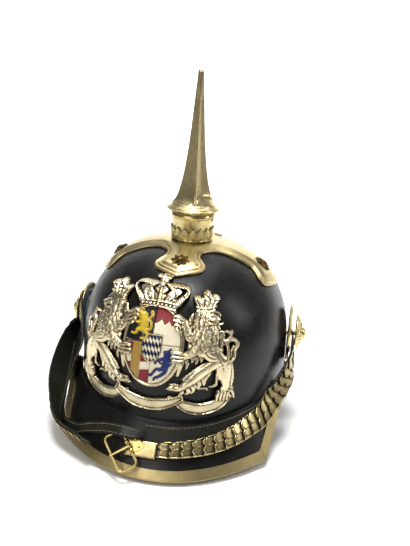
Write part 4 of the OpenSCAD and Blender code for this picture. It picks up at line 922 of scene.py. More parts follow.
def star_place(arm):
    lift = CROSS_SEAT + CROSS_METAL + ARM_CREST + 0.2
    p = arm_point(arm, ARM_REACH[arm] - STAR_FROM_TIP[arm], 0.0, lift)
    n = dome_normal(p[0], p[1])
    return p, frame_of(n, np.array([p[0], p[1], -20.0]))


def build_stars():
    parts = Parts()
    for arm in range(4):
        place, turn = star_place(arm)
        a = around(96)
        tip = np.abs(((a * 8 / (2 * np.pi)) % 1) * 2 - 1)  # 1 at a point, 0 in a notch
        outer = STAR_RADIUS * mix(0.66, 1.0, tip)
        rows = []
        for share, height in ((1.0, -0.6), (1.0, 0.25), (0.93, 0.6), (0.80, 0.62), (0.74, 0.95),
                              (0.62, 1.5), (0.50, 1.75), (0.46, 1.45), (0.42, 1.5)):
            ridge = (tip - 0.5) * 0.5 * (share < 0.9) * (share > 0.45)
            r = mix(STAR_RADIUS * 0.62, outer, np.clip((share - 0.42) / 0.4, 0, 1)) * share
            rows.append(vec(r * np.cos(a), r * np.sin(a), height + ridge))
        for share, height in ((0.40, 1.55), (0.38, 2.2), (0.33, 2.65), (0.24, 2.95), (0.12, 3.1),
                              (0.01, 3.15)):
            rows.append(vec(STAR_RADIUS * share * np.cos(a), STAR_RADIUS * share * np.sin(a), height))
        grid = np.stack(rows, 1) @ turn.T + place
        parts.add(grid, grid_faces(len(a), len(rows), True))
    return parts.piece("arm_stars", STAR_BRASS, "helmet", "star_studs", "dark_brass", sharp=28)


def build_spine():
    half, lift, steps = 5.0, 0.8, 60
    rise = np.linspace(54, 0, steps)
    k = math.degrees(math.asin(half / SKULL[0]))

    def side_line(side):
        down = rise_point(180 - side * k / np.cos(np.radians(rise)) ** (2 / POWER), rise, lift)
        v = np.linspace(0.06, 0.972, 40)
        share = k / REAR_END
        lower = rear_point(-side * share, v) + rear_normal(-side * share, v) * lift
        return np.concatenate([down, lower])

    left, right = side_line(1), side_line(-1)
    # The bend over the seam is eased
    for line in (left, right):
        for _ in range(3):
            line[58:64] = (line[57:63] + line[58:64] + line[59:65]) / 3
    along = unit(np.gradient(left + right, axis=0))
    normal = unit(np.cross(unit(left - right), along))
    length = lengths_of(*np.diff((left + right) / 2, axis=0).T)
    section = [(1.0, 0.0), (1.0, 0.6), (0.93, 0.85), (0.8, 0.85), (0.74, 0.55), (0.62, 0.6), (0.4, 1.05),
               (0.0, 1.25), (-0.4, 1.05), (-0.62, 0.6), (-0.74, 0.55), (-0.8, 0.85), (-0.93, 0.85),
               (-1.0, 0.6), (-1.0, 0.0)]
    end = np.minimum(smooth(length, 0, 3), smooth(length[-1] - length, 0, 3))
    upper = np.stack([mix(right, left, (1 + s) / 2) + normal * (h * (0.7 + 0.3 * end))[:, None]
                      for s, h in section], 1)
    lower = np.stack([mix(right, left, (1 + s) / 2) - normal * 0.3 for s, _ in section], 1)
    parts = Parts()
    parts.shell(upper, lower)
    return parts.piece("back_spine", SILVER_GILT, "helmet", "rear_spine", "silver_gilt", sharp=50)


def build_spine_studs():
    parts = Parts()
    low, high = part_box("spine_studs")
    for z in (low[2] / MM + 3.0, high[2] / MM - 3.2):
        y = SKULL[1] * shrink(z) + 2.1
        p = np.array([0.0, y, z])
        n = dome_normal(np.array(0.0), np.array(SKULL[1] * shrink(z) - 0.3))
        head = [[0.01, 1.9], [1.2, 1.75], [2.3, 1.2], [3.0, 0.5], [3.3, -0.1], [3.3, -0.6]]
        turned(parts, moulded(head), 48, p, frame_of(n, np.array([1.0, 0, 0])))
    return parts.piece("spine_screws", SILVER_GILT, "helmet", "spine_studs", "silver_gilt")


# Spike

VENT_RADIUS, VENT_HEIGHT = 1.8, NECK_BOTTOM + NECK_HEIGHT - 4.2


def build_neck():
    parts = Parts()
    foot, top = NECK_RADIUS - 0.6, NECK_TOP_RADIUS + 0.2
    profile = [[NECK_BORE, 0], [foot + 0.9, -0.2], [foot + 1.1, 0.5], [foot + 0.3, 1.2], [foot, 2.2],
               [foot + 0.3, 9], [top - 0.5, 19.6], [top + 0.1, 20.4], [top + 0.2, 21.4],
               [top - 0.4, NECK_HEIGHT], [NECK_BORE, NECK_HEIGHT]]
    outer = moulded(profile, 0.7, 0.2)
    inner = fine([[NECK_BORE, NECK_HEIGHT], [NECK_BORE, 0]], 2)[1:-1]
    turned(parts, np.concatenate([outer, inner]), 160, [0, 0, NECK_BOTTOM], np.eye(3), close=True)
    neck = parts.piece("neck_tube", SILVER_GILT, "helmet", "spike_neck", "silver_gilt")
    # Round vent holes cut through the wall
    for angle in (75, 145, 215, 285):
        a = math.radians(angle)
        way = Vector((math.sin(a), -math.cos(a), 0))
        bpy.ops.mesh.primitive_cylinder_add(vertices=32, radius=VENT_RADIUS * MM, depth=8 * MM)
        cutter = bpy.context.object
        place = (way * NECK_RADIUS + Vector((0, 0, VENT_HEIGHT))) * MM
        cutter.matrix_world = Matrix.Translation(place) @ way.to_track_quat("Z", "Y").to_matrix().to_4x4()
        cut = neck.modifiers.new("hole", "BOOLEAN")
        cut.operation, cut.solver, cut.object = "DIFFERENCE", "EXACT", cutter
        with bpy.context.temp_override(object=neck, active_object=neck, selected_objects=[neck]):
            bpy.ops.object.modifier_apply(modifier=cut.name)
        bpy.data.objects.remove(cutter)
    neck.data.set_sharp_from_angle(angle=math.radians(35))
    return neck


def leaf_relief(x, y, kind):
    """Height and share of a leaf over a flat cell, x from -1 to 1 across and y from 0 at the foot to 1."""
    # Kind 0 is a pointed fan with ribs that spread from its foot, kind 1 a round leaf on a stem
    if kind == 0:
        lobe = 0.97 * np.clip(1 - (np.abs(x) / 0.86) ** 2.6, 0, 1) ** 0.5
        angle = np.arctan2(x, y + 0.25)
        tip = 0.035 * np.cos(angle * 26)
        inside = np.clip((lobe + tip - y) / 0.10, 0, 1)
        ribs = 0.5 + 0.5 * np.cos(angle * 26)
        body = (0.55 + 0.45 * (1 - (np.abs(x)) ** 2)) * (0.7 + 0.3 * y)
        return inside * (body * 0.9 + ribs * 0.28 * smooth(y, 0.12, 0.4)), inside
    r = np.hypot(x / 0.52, (y - 0.50) / 0.27)
    head = np.clip((1 - r) / 0.16, 0, 1)
    stem = np.clip((0.26 - np.abs(x)) / 0.12, 0, 1) * (y < 0.6)
    inside = np.maximum(head, stem)
    hollow = 0.35 * bell(r, 0, 0.55)
    vein = 0.22 * bell(x, 0, 0.07) * smooth(y, 0.1, 0.3)
    return inside * (0.85 - hollow + vein), inside


def build_leaves():
    leaves, across, rows = 16, 36, 56
    height, columns = 12.4, leaves * across
    a = np.arange(columns) / across
    y = np.linspace(0, 1, rows)
    h = np.zeros((columns, rows))
    cover = np.zeros((columns, rows))
    # Fans stand in front and round leaves fill the ways between
    for kind, size in ((0, 1.0), (1, 0.62)):
        X, Y = np.meshgrid(((a + 0.5 * kind) % 1) * 2 - 1, y, indexing="ij")
        relief, inside = leaf_relief(X, Y, kind)
        h = np.maximum(h, relief * size)
        cover = np.maximum(cover, inside)
    foot = 0.5 * bell(y, 0.05, 0.04)[None, :]
    beads = 0.25 * np.abs(np.cos(a * np.pi * 4))[:, None] * bell(y, 0.045, 0.03)[None, :]
    lift = 0.1 + 1.15 * h + foot + beads
    angle = 2 * np.pi * a / leaves
    z = NECK_BOTTOM + 0.1 + height * y
    # Where no leaf is, the surface dips into the neck's wall, so that only the leaves show
    bare = (cover < 0.35) & (y > 0.09)[None, :]
    r = np.interp(z, [NECK_BOTTOM, NECK_BOTTOM + NECK_HEIGHT],
                  [NECK_RADIUS - 0.5, NECK_TOP_RADIUS - 0.3])[None, :] + lift
    r = np.where(bare, r - lift - 0.5, r)
    grid = vec(r * np.sin(angle)[:, None], -r * np.cos(angle)[:, None], z[None, :])
    parts = Parts()
    parts.add(grid, grid_faces(columns, rows, True))
    piece = parts.piece("neck_leaves", LEAF_GILT, "helmet", "leaf_band", "silver_gilt", sharp=0)
    # Painted shade: the lower the leaf relief, the darker the metal
    mark_painted_shade(piece, np.clip(1.1 - h * 1.7, 0, 1).reshape(-1))
    return piece


def mark_painted_shade(piece, values):
    """Painted shade in hollows and on hidden under faces, as a point attribute that the materials read."""
    layer = piece.data.attributes.new("hollow", "FLOAT", "POINT")
    values = np.asarray(values, np.float32).reshape(-1)
    layer.data.foreach_set("value", values[: len(piece.data.vertices)])


def build_flange():
    parts = Parts()
    r = FLANGE_RADIUS
    profile = [[5, 0], [r - 5, 0], [r - 4.4, 0.6], [r - 3.2, 0.9], [r - 2.7, 1.6], [r - 1.3, 1.9],
               [r - 0.2, 2.6], [r + 0.2, 3.3], [r - 0.1, 3.9], [r - 0.9, 4.2], [r - 1.4, 4.2],
               [r - 1.3, 4.6], [r - 1.9, 5.2], [r - 2.6, 5.5], [r - 3.0, 5.45], [r - 3.1, 5.8],
               [r - 4.2, FLANGE_HEIGHT], [0.01, FLANGE_HEIGHT]]
    turned(parts, moulded(profile, 0.5, 0.25), 192, [0, 0, FLANGE_BOTTOM], np.eye(3))
    return parts.piece("spike_foot", SPIKE_GILT, "spike", "spike_flange", "silver_gilt", sharp=40)


def ridge_radius(h):
    r = 2.3 + 6.8 * (1 - h / SPIKE_LENGTH) + 7.7 * np.exp(-h / 22) + 2.4 * np.exp(-h / 3.2)
    end = 2.3 * np.sqrt(np.maximum(1 - ((h - SPIKE_LENGTH + 2) / 2) ** 2, 0.0004))
    return np.where(h > SPIKE_LENGTH - 2, end, r)


def build_spike():
    flutes, steps = 4, 80
    columns = flutes * steps
    h = np.concatenate([np.linspace(0, 14, 70, endpoint=False), np.linspace(14, 96, 110, endpoint=False),
                        np.linspace(96, 109, 30, endpoint=False),
                        SPIKE_LENGTH - 2 * np.cos(np.linspace(0, np.pi / 2, 14))])
    h = np.unique(np.clip(h, 0, SPIKE_LENGTH - 0.01))
    q = (np.arange(columns) / steps) % 1 * 2 - 1  # across one flute, -1 and 1 on its ridges
    Q, H = np.meshgrid(q, h, indexing="ij")
    # The flute is a broad hollow; its foot is a scoop, and its head narrows to a point
    top = SPIKE_LENGTH - 5
    down = np.clip((5.4 - H) / 4.8, 0, 1)
    half = (1 - down**2.6) ** (1 / 2.6) * np.clip((top - H) / 12, 0, 1) ** 0.5
    half = np.maximum(half * 0.95, 1e-4)
    inside = np.clip(1 - (Q / half) ** 2, 0, 1)
    depth = 0.35 * inside**0.8 * smooth(H, 0.5, 9.0) * smooth(top - H, 0, 22)
    rim = 0.012 * bell(np.abs(Q), half, 0.05) * smooth(H, 2, 5) * smooth(top - H, 0, 10)
    # A small raised triangle at the foot of each ridge
    wide = np.maximum((4.6 - H) / 3.4 * 0.13, 1e-3)
    wedge = 0.035 * np.clip((wide - 1 + np.abs(Q)) / 0.05, 0, 1) * smooth(H, 1.1, 1.5) * (H < 4.6)
    r = ridge_radius(H) * (1 - depth + rim + wedge)
    r = r + 0.35 * bell(H, 0.6, 0.45)
    angle = (around(columns) + math.radians(SPIKE_SET))[:, None]
    grid = vec(r * np.sin(angle), -r * np.cos(angle), POINT_BOTTOM + H)
    parts = Parts()
    parts.add(grid, grid_faces(columns, len(h), True))
    return parts.piece("fluted_spike", SPIKE_GILT, "spike", "spike_point", "silver_gilt", sharp=0)


build_cross()
build_stars()
build_spine()
build_spine_studs()
build_neck()
build_leaves()
build_flange()
build_spike()

# Cockades and bosses

COCKADE_FACE = 91.4
BOSS_FACE, BOSS_RADIUS = 98.1, 16.8


def on_side(side, out):
    """Place and axes of something that looks outwards on one side; its own Y points up."""
    return np.array([side * out, 0, BOSS_Z]), np.array([[0, 0, side], [side, 0, 0], [0, 1, 0]], float)


def build_cockade(side, name, node, rings, slot):
    place, turn = on_side(side, COCKADE_FACE)
    radii = np.linspace(3.2, 21.6, 70)
    segments = 240
    a = around(segments)
    R, A = np.meshgrid(radii, a)
    pleat = 0.5 + 0.5 * np.cos(A * 60)
    h = 1.0 + 0.03 * np.sin(A * 7)
    h = h + 0.45 * plateau(R, 16.4, 17.0, 20.8, 21.6)
    h = h + 0.30 * plateau(R, 6.5, 7.1, 11.4, 12.0)
    h = h + 0.28 * pleat * plateau(R, 17.2, 18.0, 20.4, 21.2)
    h = h + 0.25 * pleat * plateau(R, 12.4, 13.2, 15.6, 16.2)
    h[:, 0] = 0.2
    grid = vec(R * np.cos(A), R * np.sin(A), h) @ turn.T + place
    faces = grid_faces(segments, len(radii), True)
    middle = (radii[:-1] + radii[1:]) / 2
    marks = np.tile(np.select([middle > 17.0, middle > 12.2], [0, 1], 2), segments)
    return new_mesh(name, grid, faces, rings, "helmet", node, slot, 0, marks)


def build_cockade_rim(side, name, node):
    parts = Parts()
    place, turn = on_side(side, COCKADE_FACE)
    # A rope edge: a ring of slanted round beads on a plain collar
    segments = 384
    profile = moulded([[21.2, 0.9], [21.6, 1.7], [22.3, 1.9], [22.6, 1.4]], 0.2, 0.2)
    turned(parts, profile, segments, place, turn)
    a = around(segments)
    A, B = np.meshgrid(a, around(12), indexing="ij")
    rope = 1.12 + 0.26 * np.abs(np.cos(A * 36 + B * 0.5)) ** 0.7
    grid = vec((23.5 + rope * np.cos(B)) * np.cos(A), (23.5 + rope * np.cos(B)) * np.sin(A),
               1.3 + rope * np.sin(B)) @ turn.T + place
    wrapped = np.concatenate([grid, grid[:, :1]], 1)
    parts.add(wrapped, grid_faces(segments, wrapped.shape[1], True))
    return parts.piece(name, SILVER_GILT, "helmet", node, "silver_gilt", sharp=0)


def build_boss(side, name, node):
    parts = Parts()
    place, turn = on_side(side, BOSS_FACE)
    r = BOSS_RADIUS
    profile = [[2.6, 0], [r - 0.9, 0.0], [r - 0.1, 0.5], [r, 1.0], [r - 0.4, 1.6], [r - 1.2, 1.85],
               [r - 1.9, 1.6], [r - 2.3, 1.75], [r - 2.9, 2.9], [r - 3.6, 3.35], [r - 5.4, 3.45],
               [r - 6.1, 3.3], [r - 6.6, 3.9], [r - 7.6, 4.8], [r - 9.4, 5.3], [6.4, 5.35], [5.9, 5.6],
               [5.4, 6.6], [4.6, 7.8], [3.4, 8.6], [1.8, 9.0], [0.01, 9.08]]

    def petals(angle, radius, height):
        wave = np.abs(np.cos(angle * 8))
        inside = plateau(radius, 6.6, 8.2, r - 5.4, r - 4.2)
        small = plateau(radius, r - 3.4, r - 2.6, r - 2.2, r - 1.6)
        return radius, height + inside * (wave**0.6 - 0.5) * 0.9 + small * np.cos(angle * 48) * 0.22

    turned(parts, moulded(profile, 0.35, 0.25), 288, place, turn, petals)
    return parts.piece(name, SILVER_GILT, "helmet", node, "silver_gilt", sharp=0)


build_cockade(1, "cockade_disc_left", "cockade_left", [PAINT_BLACK, PAINT_WHITE, PAINT_RED], "cockade_dark")
build_cockade(-1, "cockade_disc_right", "cockade_right", [PAINT_WHITE, PAINT_BLUE, PAINT_WHITE],
              "cockade_pale")
build_cockade_rim(1, "cockade_rope_left", "cockade_rim_left")
build_cockade_rim(-1, "cockade_rope_right", "cockade_rim_right")
build_boss(1, "rosette_left", "boss_left")
build_boss(-1, "rosette_right", "boss_right")

# Chin strap

STRAP_FACE, STRAP_LEATHER, STRAP_SEAT = 95.3, 1.6, 1.5
WIDTH_BOSS, WIDTH_END = 21.0, 12.5
SCALE_COUNT = {1: 19, -1: 16}
SCALE_BACK, SCALE_FRONT, SCALE_START, SCALE_TILT, SCALE_METAL = 6.0, 5.0, 12.0, 0.14, 0.62
BARE = {1: 14.0, -1: 9.0}
STRAP_DOWN = unit(np.array([0, -0.82, -0.57]))
STRAP_UP = unit(np.array([0, -0.57, 0.82]))
STRAP_HALF = WIDTH_BOSS / 2 + 0.5
BULGE_X = -108.0


def boss_pair(side, along, out):
    c = np.array([side * (STRAP_FACE + out), 0, BOSS_Z]) + STRAP_DOWN * along
    return [c - STRAP_UP * STRAP_HALF, c + STRAP_UP * STRAP_HALF]


def visor_pair(t, low, high):
    return [over_visor(t, low, STRAP_SEAT), over_visor(t, high, STRAP_SEAT)]


def spot(*p):
    return np.array(p, float)


LEFT_BAND = [
    boss_pair(1, 8, 0), boss_pair(1, 27, 0.4),
    [VISOR_END + spot(3, -4, 1), wall_point(FRONT_END * 0.86, rim_at(70) + 15, 4.5)],
    [over_visor(0.74, 0.62, STRAP_SEAT), over_visor(0.74, 0.0, STRAP_SEAT + 0.5)],
    visor_pair(0.6, 0.5, 0.03), visor_pair(0.45, 0.58, 0.05), visor_pair(0.3, 0.62, 0.08),
    visor_pair(0.12, 0.64, 0.1), visor_pair(-0.08, 0.66, 0.1),
]
RIGHT_BAND = [
    boss_pair(-1, 8, 0), boss_pair(-1, 17, 0.3),
    [spot(BULGE_X + 11, -25, BOSS_Z - 30), spot(BULGE_X + 4.5, -33, BOSS_Z - 10)],
    [spot(BULGE_X + 12.5, -42, BOSS_Z - 42), spot(BULGE_X, -48, BOSS_Z - 25)],
    [spot(BULGE_X + 16, -62, BOSS_Z - 53), spot(BULGE_X + 1, -66, BOSS_Z - 39)],
    [spot(-CORNER[0] - 2, CORNER[1] + 12, 18.5), spot(-CORNER[0] - 13, CORNER[1] + 8, 32)],
    [spot(6 - CORNER[0], CORNER[1] - 4, 12), spot(-CORNER[0], CORNER[1] - 13, 26)],
    [over_visor(-0.47, 0.8, 2), over_visor(-0.47, 0.8, 2) + spot(-2, -10, 11)],
    [over_visor(-0.36, 0.74, 2), over_visor(-0.36, 0.74, 2) + spot(-1, -11, 9)],
]
# The fold of the right half's leather, turned in from behind the scales until it leans on the shell
RIGHT_FOLD = [
    [boss_pair(-1, -5, -1.2)[0], spot(-93.4, -8, 104)],
    [boss_pair(-1, 8, -1.2)[0], spot(-93.0, -19, 100)],
    [boss_pair(-1, 18, -1.2)[0], spot(-90.0, -28, 93)],
    [RIGHT_BAND[2][0] + spot(0, 0, 4), wall_point(-68, 83, 0.6)],
    [RIGHT_BAND[3][0] + spot(0, 0, 5), wall_point(-63, 68, 0.8)],
    [RIGHT_BAND[4][0] + spot(0, 0, 5), spot(-85, -62, 55)],
    [RIGHT_BAND[5][0] + spot(0, 0, 4), spot(-87, -84, 33)],
    [RIGHT_BAND[6][0] + spot(0, 0, 3), RIGHT_BAND[6][1] + spot(2, 2, 2)],
]
TONGUE_BAND = [
    [over_visor(-0.6, 0.90, 5), over_visor(-0.6, 0.72, 7)],
    [over_visor(-0.48, 0.80, 8), over_visor(-0.48, 0.6, 10)],
    [over_visor(-0.38, 0.63, 12), over_visor(-0.38, 0.43, 13)],
    [over_visor(-0.28, 0.5, 13), over_visor(-0.28, 0.3, 12.5)],
    [over_visor(-0.18, 0.46, 15.5), over_visor(-0.18, 0.26, 13)],
    [over_visor(-0.1, 0.42, 12), over_visor(-0.1, 0.24, 9.5)],
    [over_visor(-0.06, 0.36, 8), over_visor(-0.06, 0.2, 7)],
]


class Band:
    """A flat strap given by pairs of points on its two edges."""

    def __init__(self, pairs, side):
        self.pairs, self.side = np.array(pairs), side
        f = np.linspace(0, 1, 241)
        middle = through(self.pairs, f).mean(1)
        self.lengths = lengths_of(*np.diff(middle, axis=0).T)
        self.places = f

    def place(self, s):
        """Place f at a length s along the middle."""
        return np.interp(s, self.lengths, self.places)

    def at(self, f):
        """Lower edge, direction along, across and out, and width, at places f."""
        f = np.asarray(f, float)
        e = 0.004
        here = through(self.pairs, f)
        step = through(self.pairs, np.minimum(f + e, 1)) - through(self.pairs, np.maximum(f - e, 0))
        along = unit(step.sum(-2))
        across = unit(here[..., 1, :] - here[..., 0, :])
        out = unit(np.cross(across, along)) * self.side
        return here[..., 0, :], along, across, out, np.linalg.norm(here[..., 1, :] - here[..., 0, :], axis=-1)

    def point(self, s, up, lift):
        """Points at lengths s along, up from the lower edge and over the under side, in millimetres."""
        s, up, lift = np.broadcast_arrays(*[np.asarray(x, float) for x in (s, up, lift)])
        low, _, across, out, _ = self.at(self.place(s))
        return low + across * up[..., None] + out * lift[..., None]


def strap_leather(band, name, node, thick=STRAP_LEATHER, tip=0.0, root=0.0):
    """Leather along a band, with stitched borders. tip and root are the lengths of its rounded ends."""
    parts = Parts()
    length = band.lengths[-1]
    s = np.linspace(0, length, 220)
    low, _, across, out, width = band.at(band.place(s))
    rows = np.array([0, 0.02, 0.05, 0.1, 0.2, 0.35, 0.5, 0.65, 0.8, 0.9, 0.95, 0.98, 1.0])
    pinch = np.ones_like(s)
    if tip:
        pinch = np.sqrt(np.clip(1 - np.clip((s - (length - tip)) / tip, 0, 1) ** 2.2, 0.004, 1))
    if root:
        pinch = pinch * np.sqrt(np.clip(1 - np.clip(1 - s / root, 0, 1) ** 2.2, 0.004, 1))
    shares = 0.5 + (rows[None, :] - 0.5) * pinch[:, None]
    edge = np.minimum(rows, 1 - rows)[None, :] * width[:, None]
    bevel = 0.45 * np.clip(1 - edge / 0.7, 0, 1) ** 2
    groove = 0.16 * bell(edge, 1.7, 0.35)
    base = low[:, None] + across[:, None] * (shares * width[:, None])[..., None]
    wave = wobble(base, 9, 11) * 0.05
    upper = base + out[:, None] * (thick - bevel - groove + wave)[..., None]
    lower = base + out[:, None] * (bevel * 0.8)[..., None]
    if band.side > 0:
        upper, lower = upper[:, ::-1], lower[:, ::-1]
    parts.shell(upper, lower)
    parts.piece(name, STRAP_LEATHER_LOOK, "chin_strap", node, "strap_leather", sharp=50)
    seams = Parts()
    where = np.arange(max(root, 3.0), length - max(tip, 2.0), 3.1)
    low, _, across, out, width = band.at(band.place(where))
    for up in (1.7, width - 1.7):
        line = low + across * np.broadcast_to(up, width.shape)[:, None] + out * (thick - 0.28)
        stitch_row(seams, line, out, 2.0, 0.55, 0.30)
    seams.piece(name + "_stitches", PALE_THREAD, "chin_strap", slot="strap_leather")


def scale_front_edge(up):
    """How far a scale's front edge stands back: a pointed lower corner and two round lobes."""
    u = np.asarray(up, float)
    lobe_low = 0.5 + 2.6 * np.abs((u - 0.30) / 0.20) ** 2.4
    lobe_high = 0.2 + 2.6 * np.abs((u - 0.70) / 0.20) ** 2.4
    corner = 0.1 + 14 * u
    lobes = np.clip(np.minimum(np.minimum(lobe_low, lobe_high), corner), 0, 2.7)
    return lobes + 20.4 * np.maximum(u - 0.9, 0)


def build_scales(band, name, node):
    parts = Parts()
    hollows = []
    count = SCALE_COUNT[band.side]
    length = band.lengths[-1]
    pitch = (length - SCALE_START - SCALE_BACK - SCALE_FRONT - BARE[band.side]) / (count - 1)
    up = np.concatenate([[0, 0.015, 0.04], np.linspace(0.07, 0.93, 30), [0.96, 0.985, 1]])
    run = np.concatenate([np.linspace(0, 0.55, 6, endpoint=False), np.linspace(0.55, 0.955, 14),
                          [0.985, 1.0]])
    front = SCALE_FRONT - scale_front_edge(up)
    for i in range(count):
        w = mix(WIDTH_BOSS, WIDTH_END, i / (count - 1))
        along = -SCALE_BACK + (front[None, :] + SCALE_BACK) * run[:, None]
        middle = SCALE_START + SCALE_BACK + i * pitch
        U = np.broadcast_to(up[None, :], along.shape)
        edge = np.minimum(np.minimum(U, 1 - U) * w, front[None, :] - along)
        crown = 0.55 * (1 - (2 * U - 1) ** 2) - 0.1
        rib = 0.28 * bell(edge, 0.55, 0.32) - 0.14 * bell(edge, 1.35, 0.4)
        ridge = 0.20 * bell((U - 0.5) * w, 0, 0.5) * smooth(along, SCALE_FRONT - 1, 0)
        lift = STRAP_LEATHER + 0.5 + (along + SCALE_BACK) * SCALE_TILT + SCALE_METAL
        lift = lift + (crown * 0.6 + rib + ridge) * smooth(along, -SCALE_BACK, -2.0) - 0.12
        jitter = rng.normal(size=3) * [0.10, 0.10, 0.0]
        tilt = rng.normal() * 0.010
        s, high = middle + along + jitter[0], 0.3 + w * U + jitter[1] * 0.5
        upper = band.point(s, high, lift + tilt * (U - 0.5) * w)
        lower = band.point(s, high, np.maximum(lift - SCALE_METAL, STRAP_LEATHER + 0.25))
        grid = (upper, lower) if band.side > 0 else (upper[:, ::-1], lower[:, ::-1])
        parts.shell(*grid)
        # Painted shade: darker in the groove inside each scale's rim, where its back tucks under the scale
        # before, and on all its under faces
        dirt_and_shade = np.clip(0.75 * bell(edge, 1.3, 0.5) + smooth(along, -0.5, -3.4) * 0.9, 0, 1)
        dirt_and_shade = dirt_and_shade * smooth(edge, 0.35, 0.8)
        dirt_and_shade = dirt_and_shade if band.side > 0 else dirt_and_shade[:, ::-1]
        hollows.append(np.concatenate([dirt_and_shade.reshape(-1), np.ones(dirt_and_shade.size)]))
    piece = parts.piece(name, SCALE_BRASS, "chin_strap", node, "scale_brass", sharp=40)
    mark_painted_shade(piece, np.concatenate(hollows))
    return piece


left_band, right_band, tongue_band = Band(LEFT_BAND, 1), Band(RIGHT_BAND, -1), Band(TONGUE_BAND, -1)
strap_leather(left_band, "strap_backing_left", "strap_leather_left")
strap_leather(right_band, "strap_backing_right", "strap_leather_right")
strap_leather(Band(RIGHT_FOLD, -1), "strap_fold_right", (), 1.2, tip=8.0, root=9.0)
strap_leather(tongue_band, "strap_loose_end", "strap_tongue", 1.2, tip=6.0)
build_scales(left_band, "scale_row_left", "scales_left")
build_scales(right_band, "scale_row_right", "scales_right")

# Buckle, its tab and prong, and the plate that ends the scales

BUCKLE_WIRE, BUCKLE_LENGTH, BUCKLE_WIDTH, BUCKLE_RING, BUCKLE_STRIP = 1.2, 30.0, 15.0, 0.8, 0.7
END_PLATE_LENGTH, END_PLATE_METAL = 24.0, 1.0


def end_plate_frame():
    t, v = 0.025, 0.53
    n = visor_normal(t, v)
    d = visor_point(t - 0.08, v) - visor_point(t + 0.02, v)
    return over_visor(t, v, STRAP_SEAT + STRAP_LEATHER + 0.5), frame_of(n, unit(d - n * np.dot(d, n)))


def buckle_frame_at():
    place, turn = end_plate_frame()
    x, y, z = turn[:, 0], turn[:, 1], turn[:, 2]
    bar = place + x * (END_PLATE_LENGTH - 3) + z * (END_PLATE_METAL + 0.15 + BUCKLE_WIRE + BUCKLE_RING)
    a = math.radians(36)
    bx = x * math.cos(a) + y * math.sin(a)
    return bar + bx * BUCKLE_WIDTH / 2, frame_of(z, bx)


def build_buckle():
    place, turn = buckle_frame_at()

    def world(p):
        return np.asarray(p, float) @ turn.T + place

    def bend(parts, path, y, half, section, foot, up=1):
        """A strip bent along a path [x, z] of the buckle's own frame."""
        path = np.array(path)
        d = unit(np.gradient(path, axis=0))
        normal = vec(-d[:, 1], 0, d[:, 0]) * BUCKLE_STRIP * up
        across = turn[:, 1] * np.broadcast_to(half, len(path))[:, None]
        parts.strip(world(vec(path[:, 0], y, path[:, 1])), across, normal @ turn.T, section, foot)

    # Frame: one bent wire with round corners, swollen on its long sides
    hx, hy, r = BUCKLE_WIDTH / 2, BUCKLE_LENGTH / 2, 3.2
    line = []
    for cx, cy, start in ((hx - r, hy - r, 0), (-hx + r, hy - r, 90), (-hx + r, -hy + r, 180),
                          (hx - r, -hy + r, 270)):
        line += [[cx + r * math.cos(math.radians(start + a)), cy + r * math.sin(math.radians(start + a)), 0]
                 for a in np.linspace(0, 90, 12)]
    line = np.array(line)
    dense = []
    for p, q in zip(line, np.roll(line, -1, axis=0)):
        n = max(1, int(np.linalg.norm(q - p) / 0.6))
        dense += [mix(p, q, i / n) for i in range(n)]
    dense = np.array(dense)
    parts = Parts()
    along = unit(np.roll(dense, -1, 0) - np.roll(dense, 1, 0))
    sides = 16
    a = around(sides)
    out = np.cross(along, [0, 0, 1.0])
    fat = 1 + 0.12 * smooth(hy - 2 - np.abs(dense[:, 1]), 0, 4) * (np.abs(dense[:, 0]) > hx - 0.5)
    ring = dense[:, None] + BUCKLE_WIRE * 0.85 * fat[:, None, None] * (
        np.cos(a)[None, :, None] * out[:, None] + np.sin(a)[None, :, None] * np.array([0, 0, 1.0]))
    grid = world(np.concatenate([ring, ring[:, :1]], 1))
    parts.add(grid, grid_faces(len(dense), sides + 1, True))
    parts.piece("buckle_wire", BRIGHT_BRASS, "chin_strap", "buckle_frame", "bright_brass", sharp=0)

    # Prong: flat strip that rolls round the bar and tapers to a blunt end
    parts = Parts()
    angles = np.radians(np.linspace(-250, 90, 40))
    reach = BUCKLE_WIRE + 0.08 + BUCKLE_STRIP / 2
    path = [[-hx + math.cos(b) * reach, math.sin(b) * reach] for b in angles]
    path += [[-hx + s, reach + 0.25 * math.sin(math.pi * s / 17)] for s in np.linspace(0.8, 16.6, 26)]
    k = np.linspace(0, 1, len(path))
    half = mix(1.45, 0.8, smooth(k, 0.6, 1.0)) * np.where(k > 0.985, 0.7, 1)
    bend(parts, path, 0, half, [(-1, -0.5), (-1, 0.2), (-0.7, 0.5), (0.7, 0.5), (1, 0.2), (1, -0.5)], -0.5)
    parts.piece("buckle_tongue_pin", BRIGHT_BRASS, "buckle_prong", "buckle_prong", "bright_brass", sharp=45)

    # Tab: a folded strip that holds the bar on both sides of the prong
    parts = Parts()
    r = BUCKLE_WIRE + 0.12 + BUCKLE_STRIP / 2
    for s in (-1, 1):
        path = [[-hx - q, -r] for q in np.linspace(9.0, 0.2, 14)]
        path += [[-hx + r * math.cos(b), r * math.sin(b)] for b in np.radians(np.linspace(-90, 150, 26))]
        bend(parts, path, s * 3.8, 1, [(1.7, 0), (1.4, 0.4), (-1.4, 0.4), (-1.7, 0)], -0.5, up=-1)
    section = [(-5.6, -0.1), (-5.4, 0.35), (-2, 0.42), (2, 0.42), (5.4, 0.35), (5.6, -0.1)]
    back = world(vec(np.linspace(-hx - 9.3, -hx - 3.4, 14), 0, -r))
    parts.strip(back, turn[:, 1], turn[:, 2], section, -0.35)
    for y in (-3.6, 3.6):
        turned(parts, fine([[0.01, 0.75], [0.5, 0.68], [0.9, 0.4], [1.05, 0.0], [1.05, -0.3]], 0.2), 24,
               world([-hx - 6.4, y, -r + 0.35]), turn)
    parts.piece("buckle_strip", BRIGHT_BRASS, "chin_strap", "buckle_tab", "bright_brass", sharp=45)


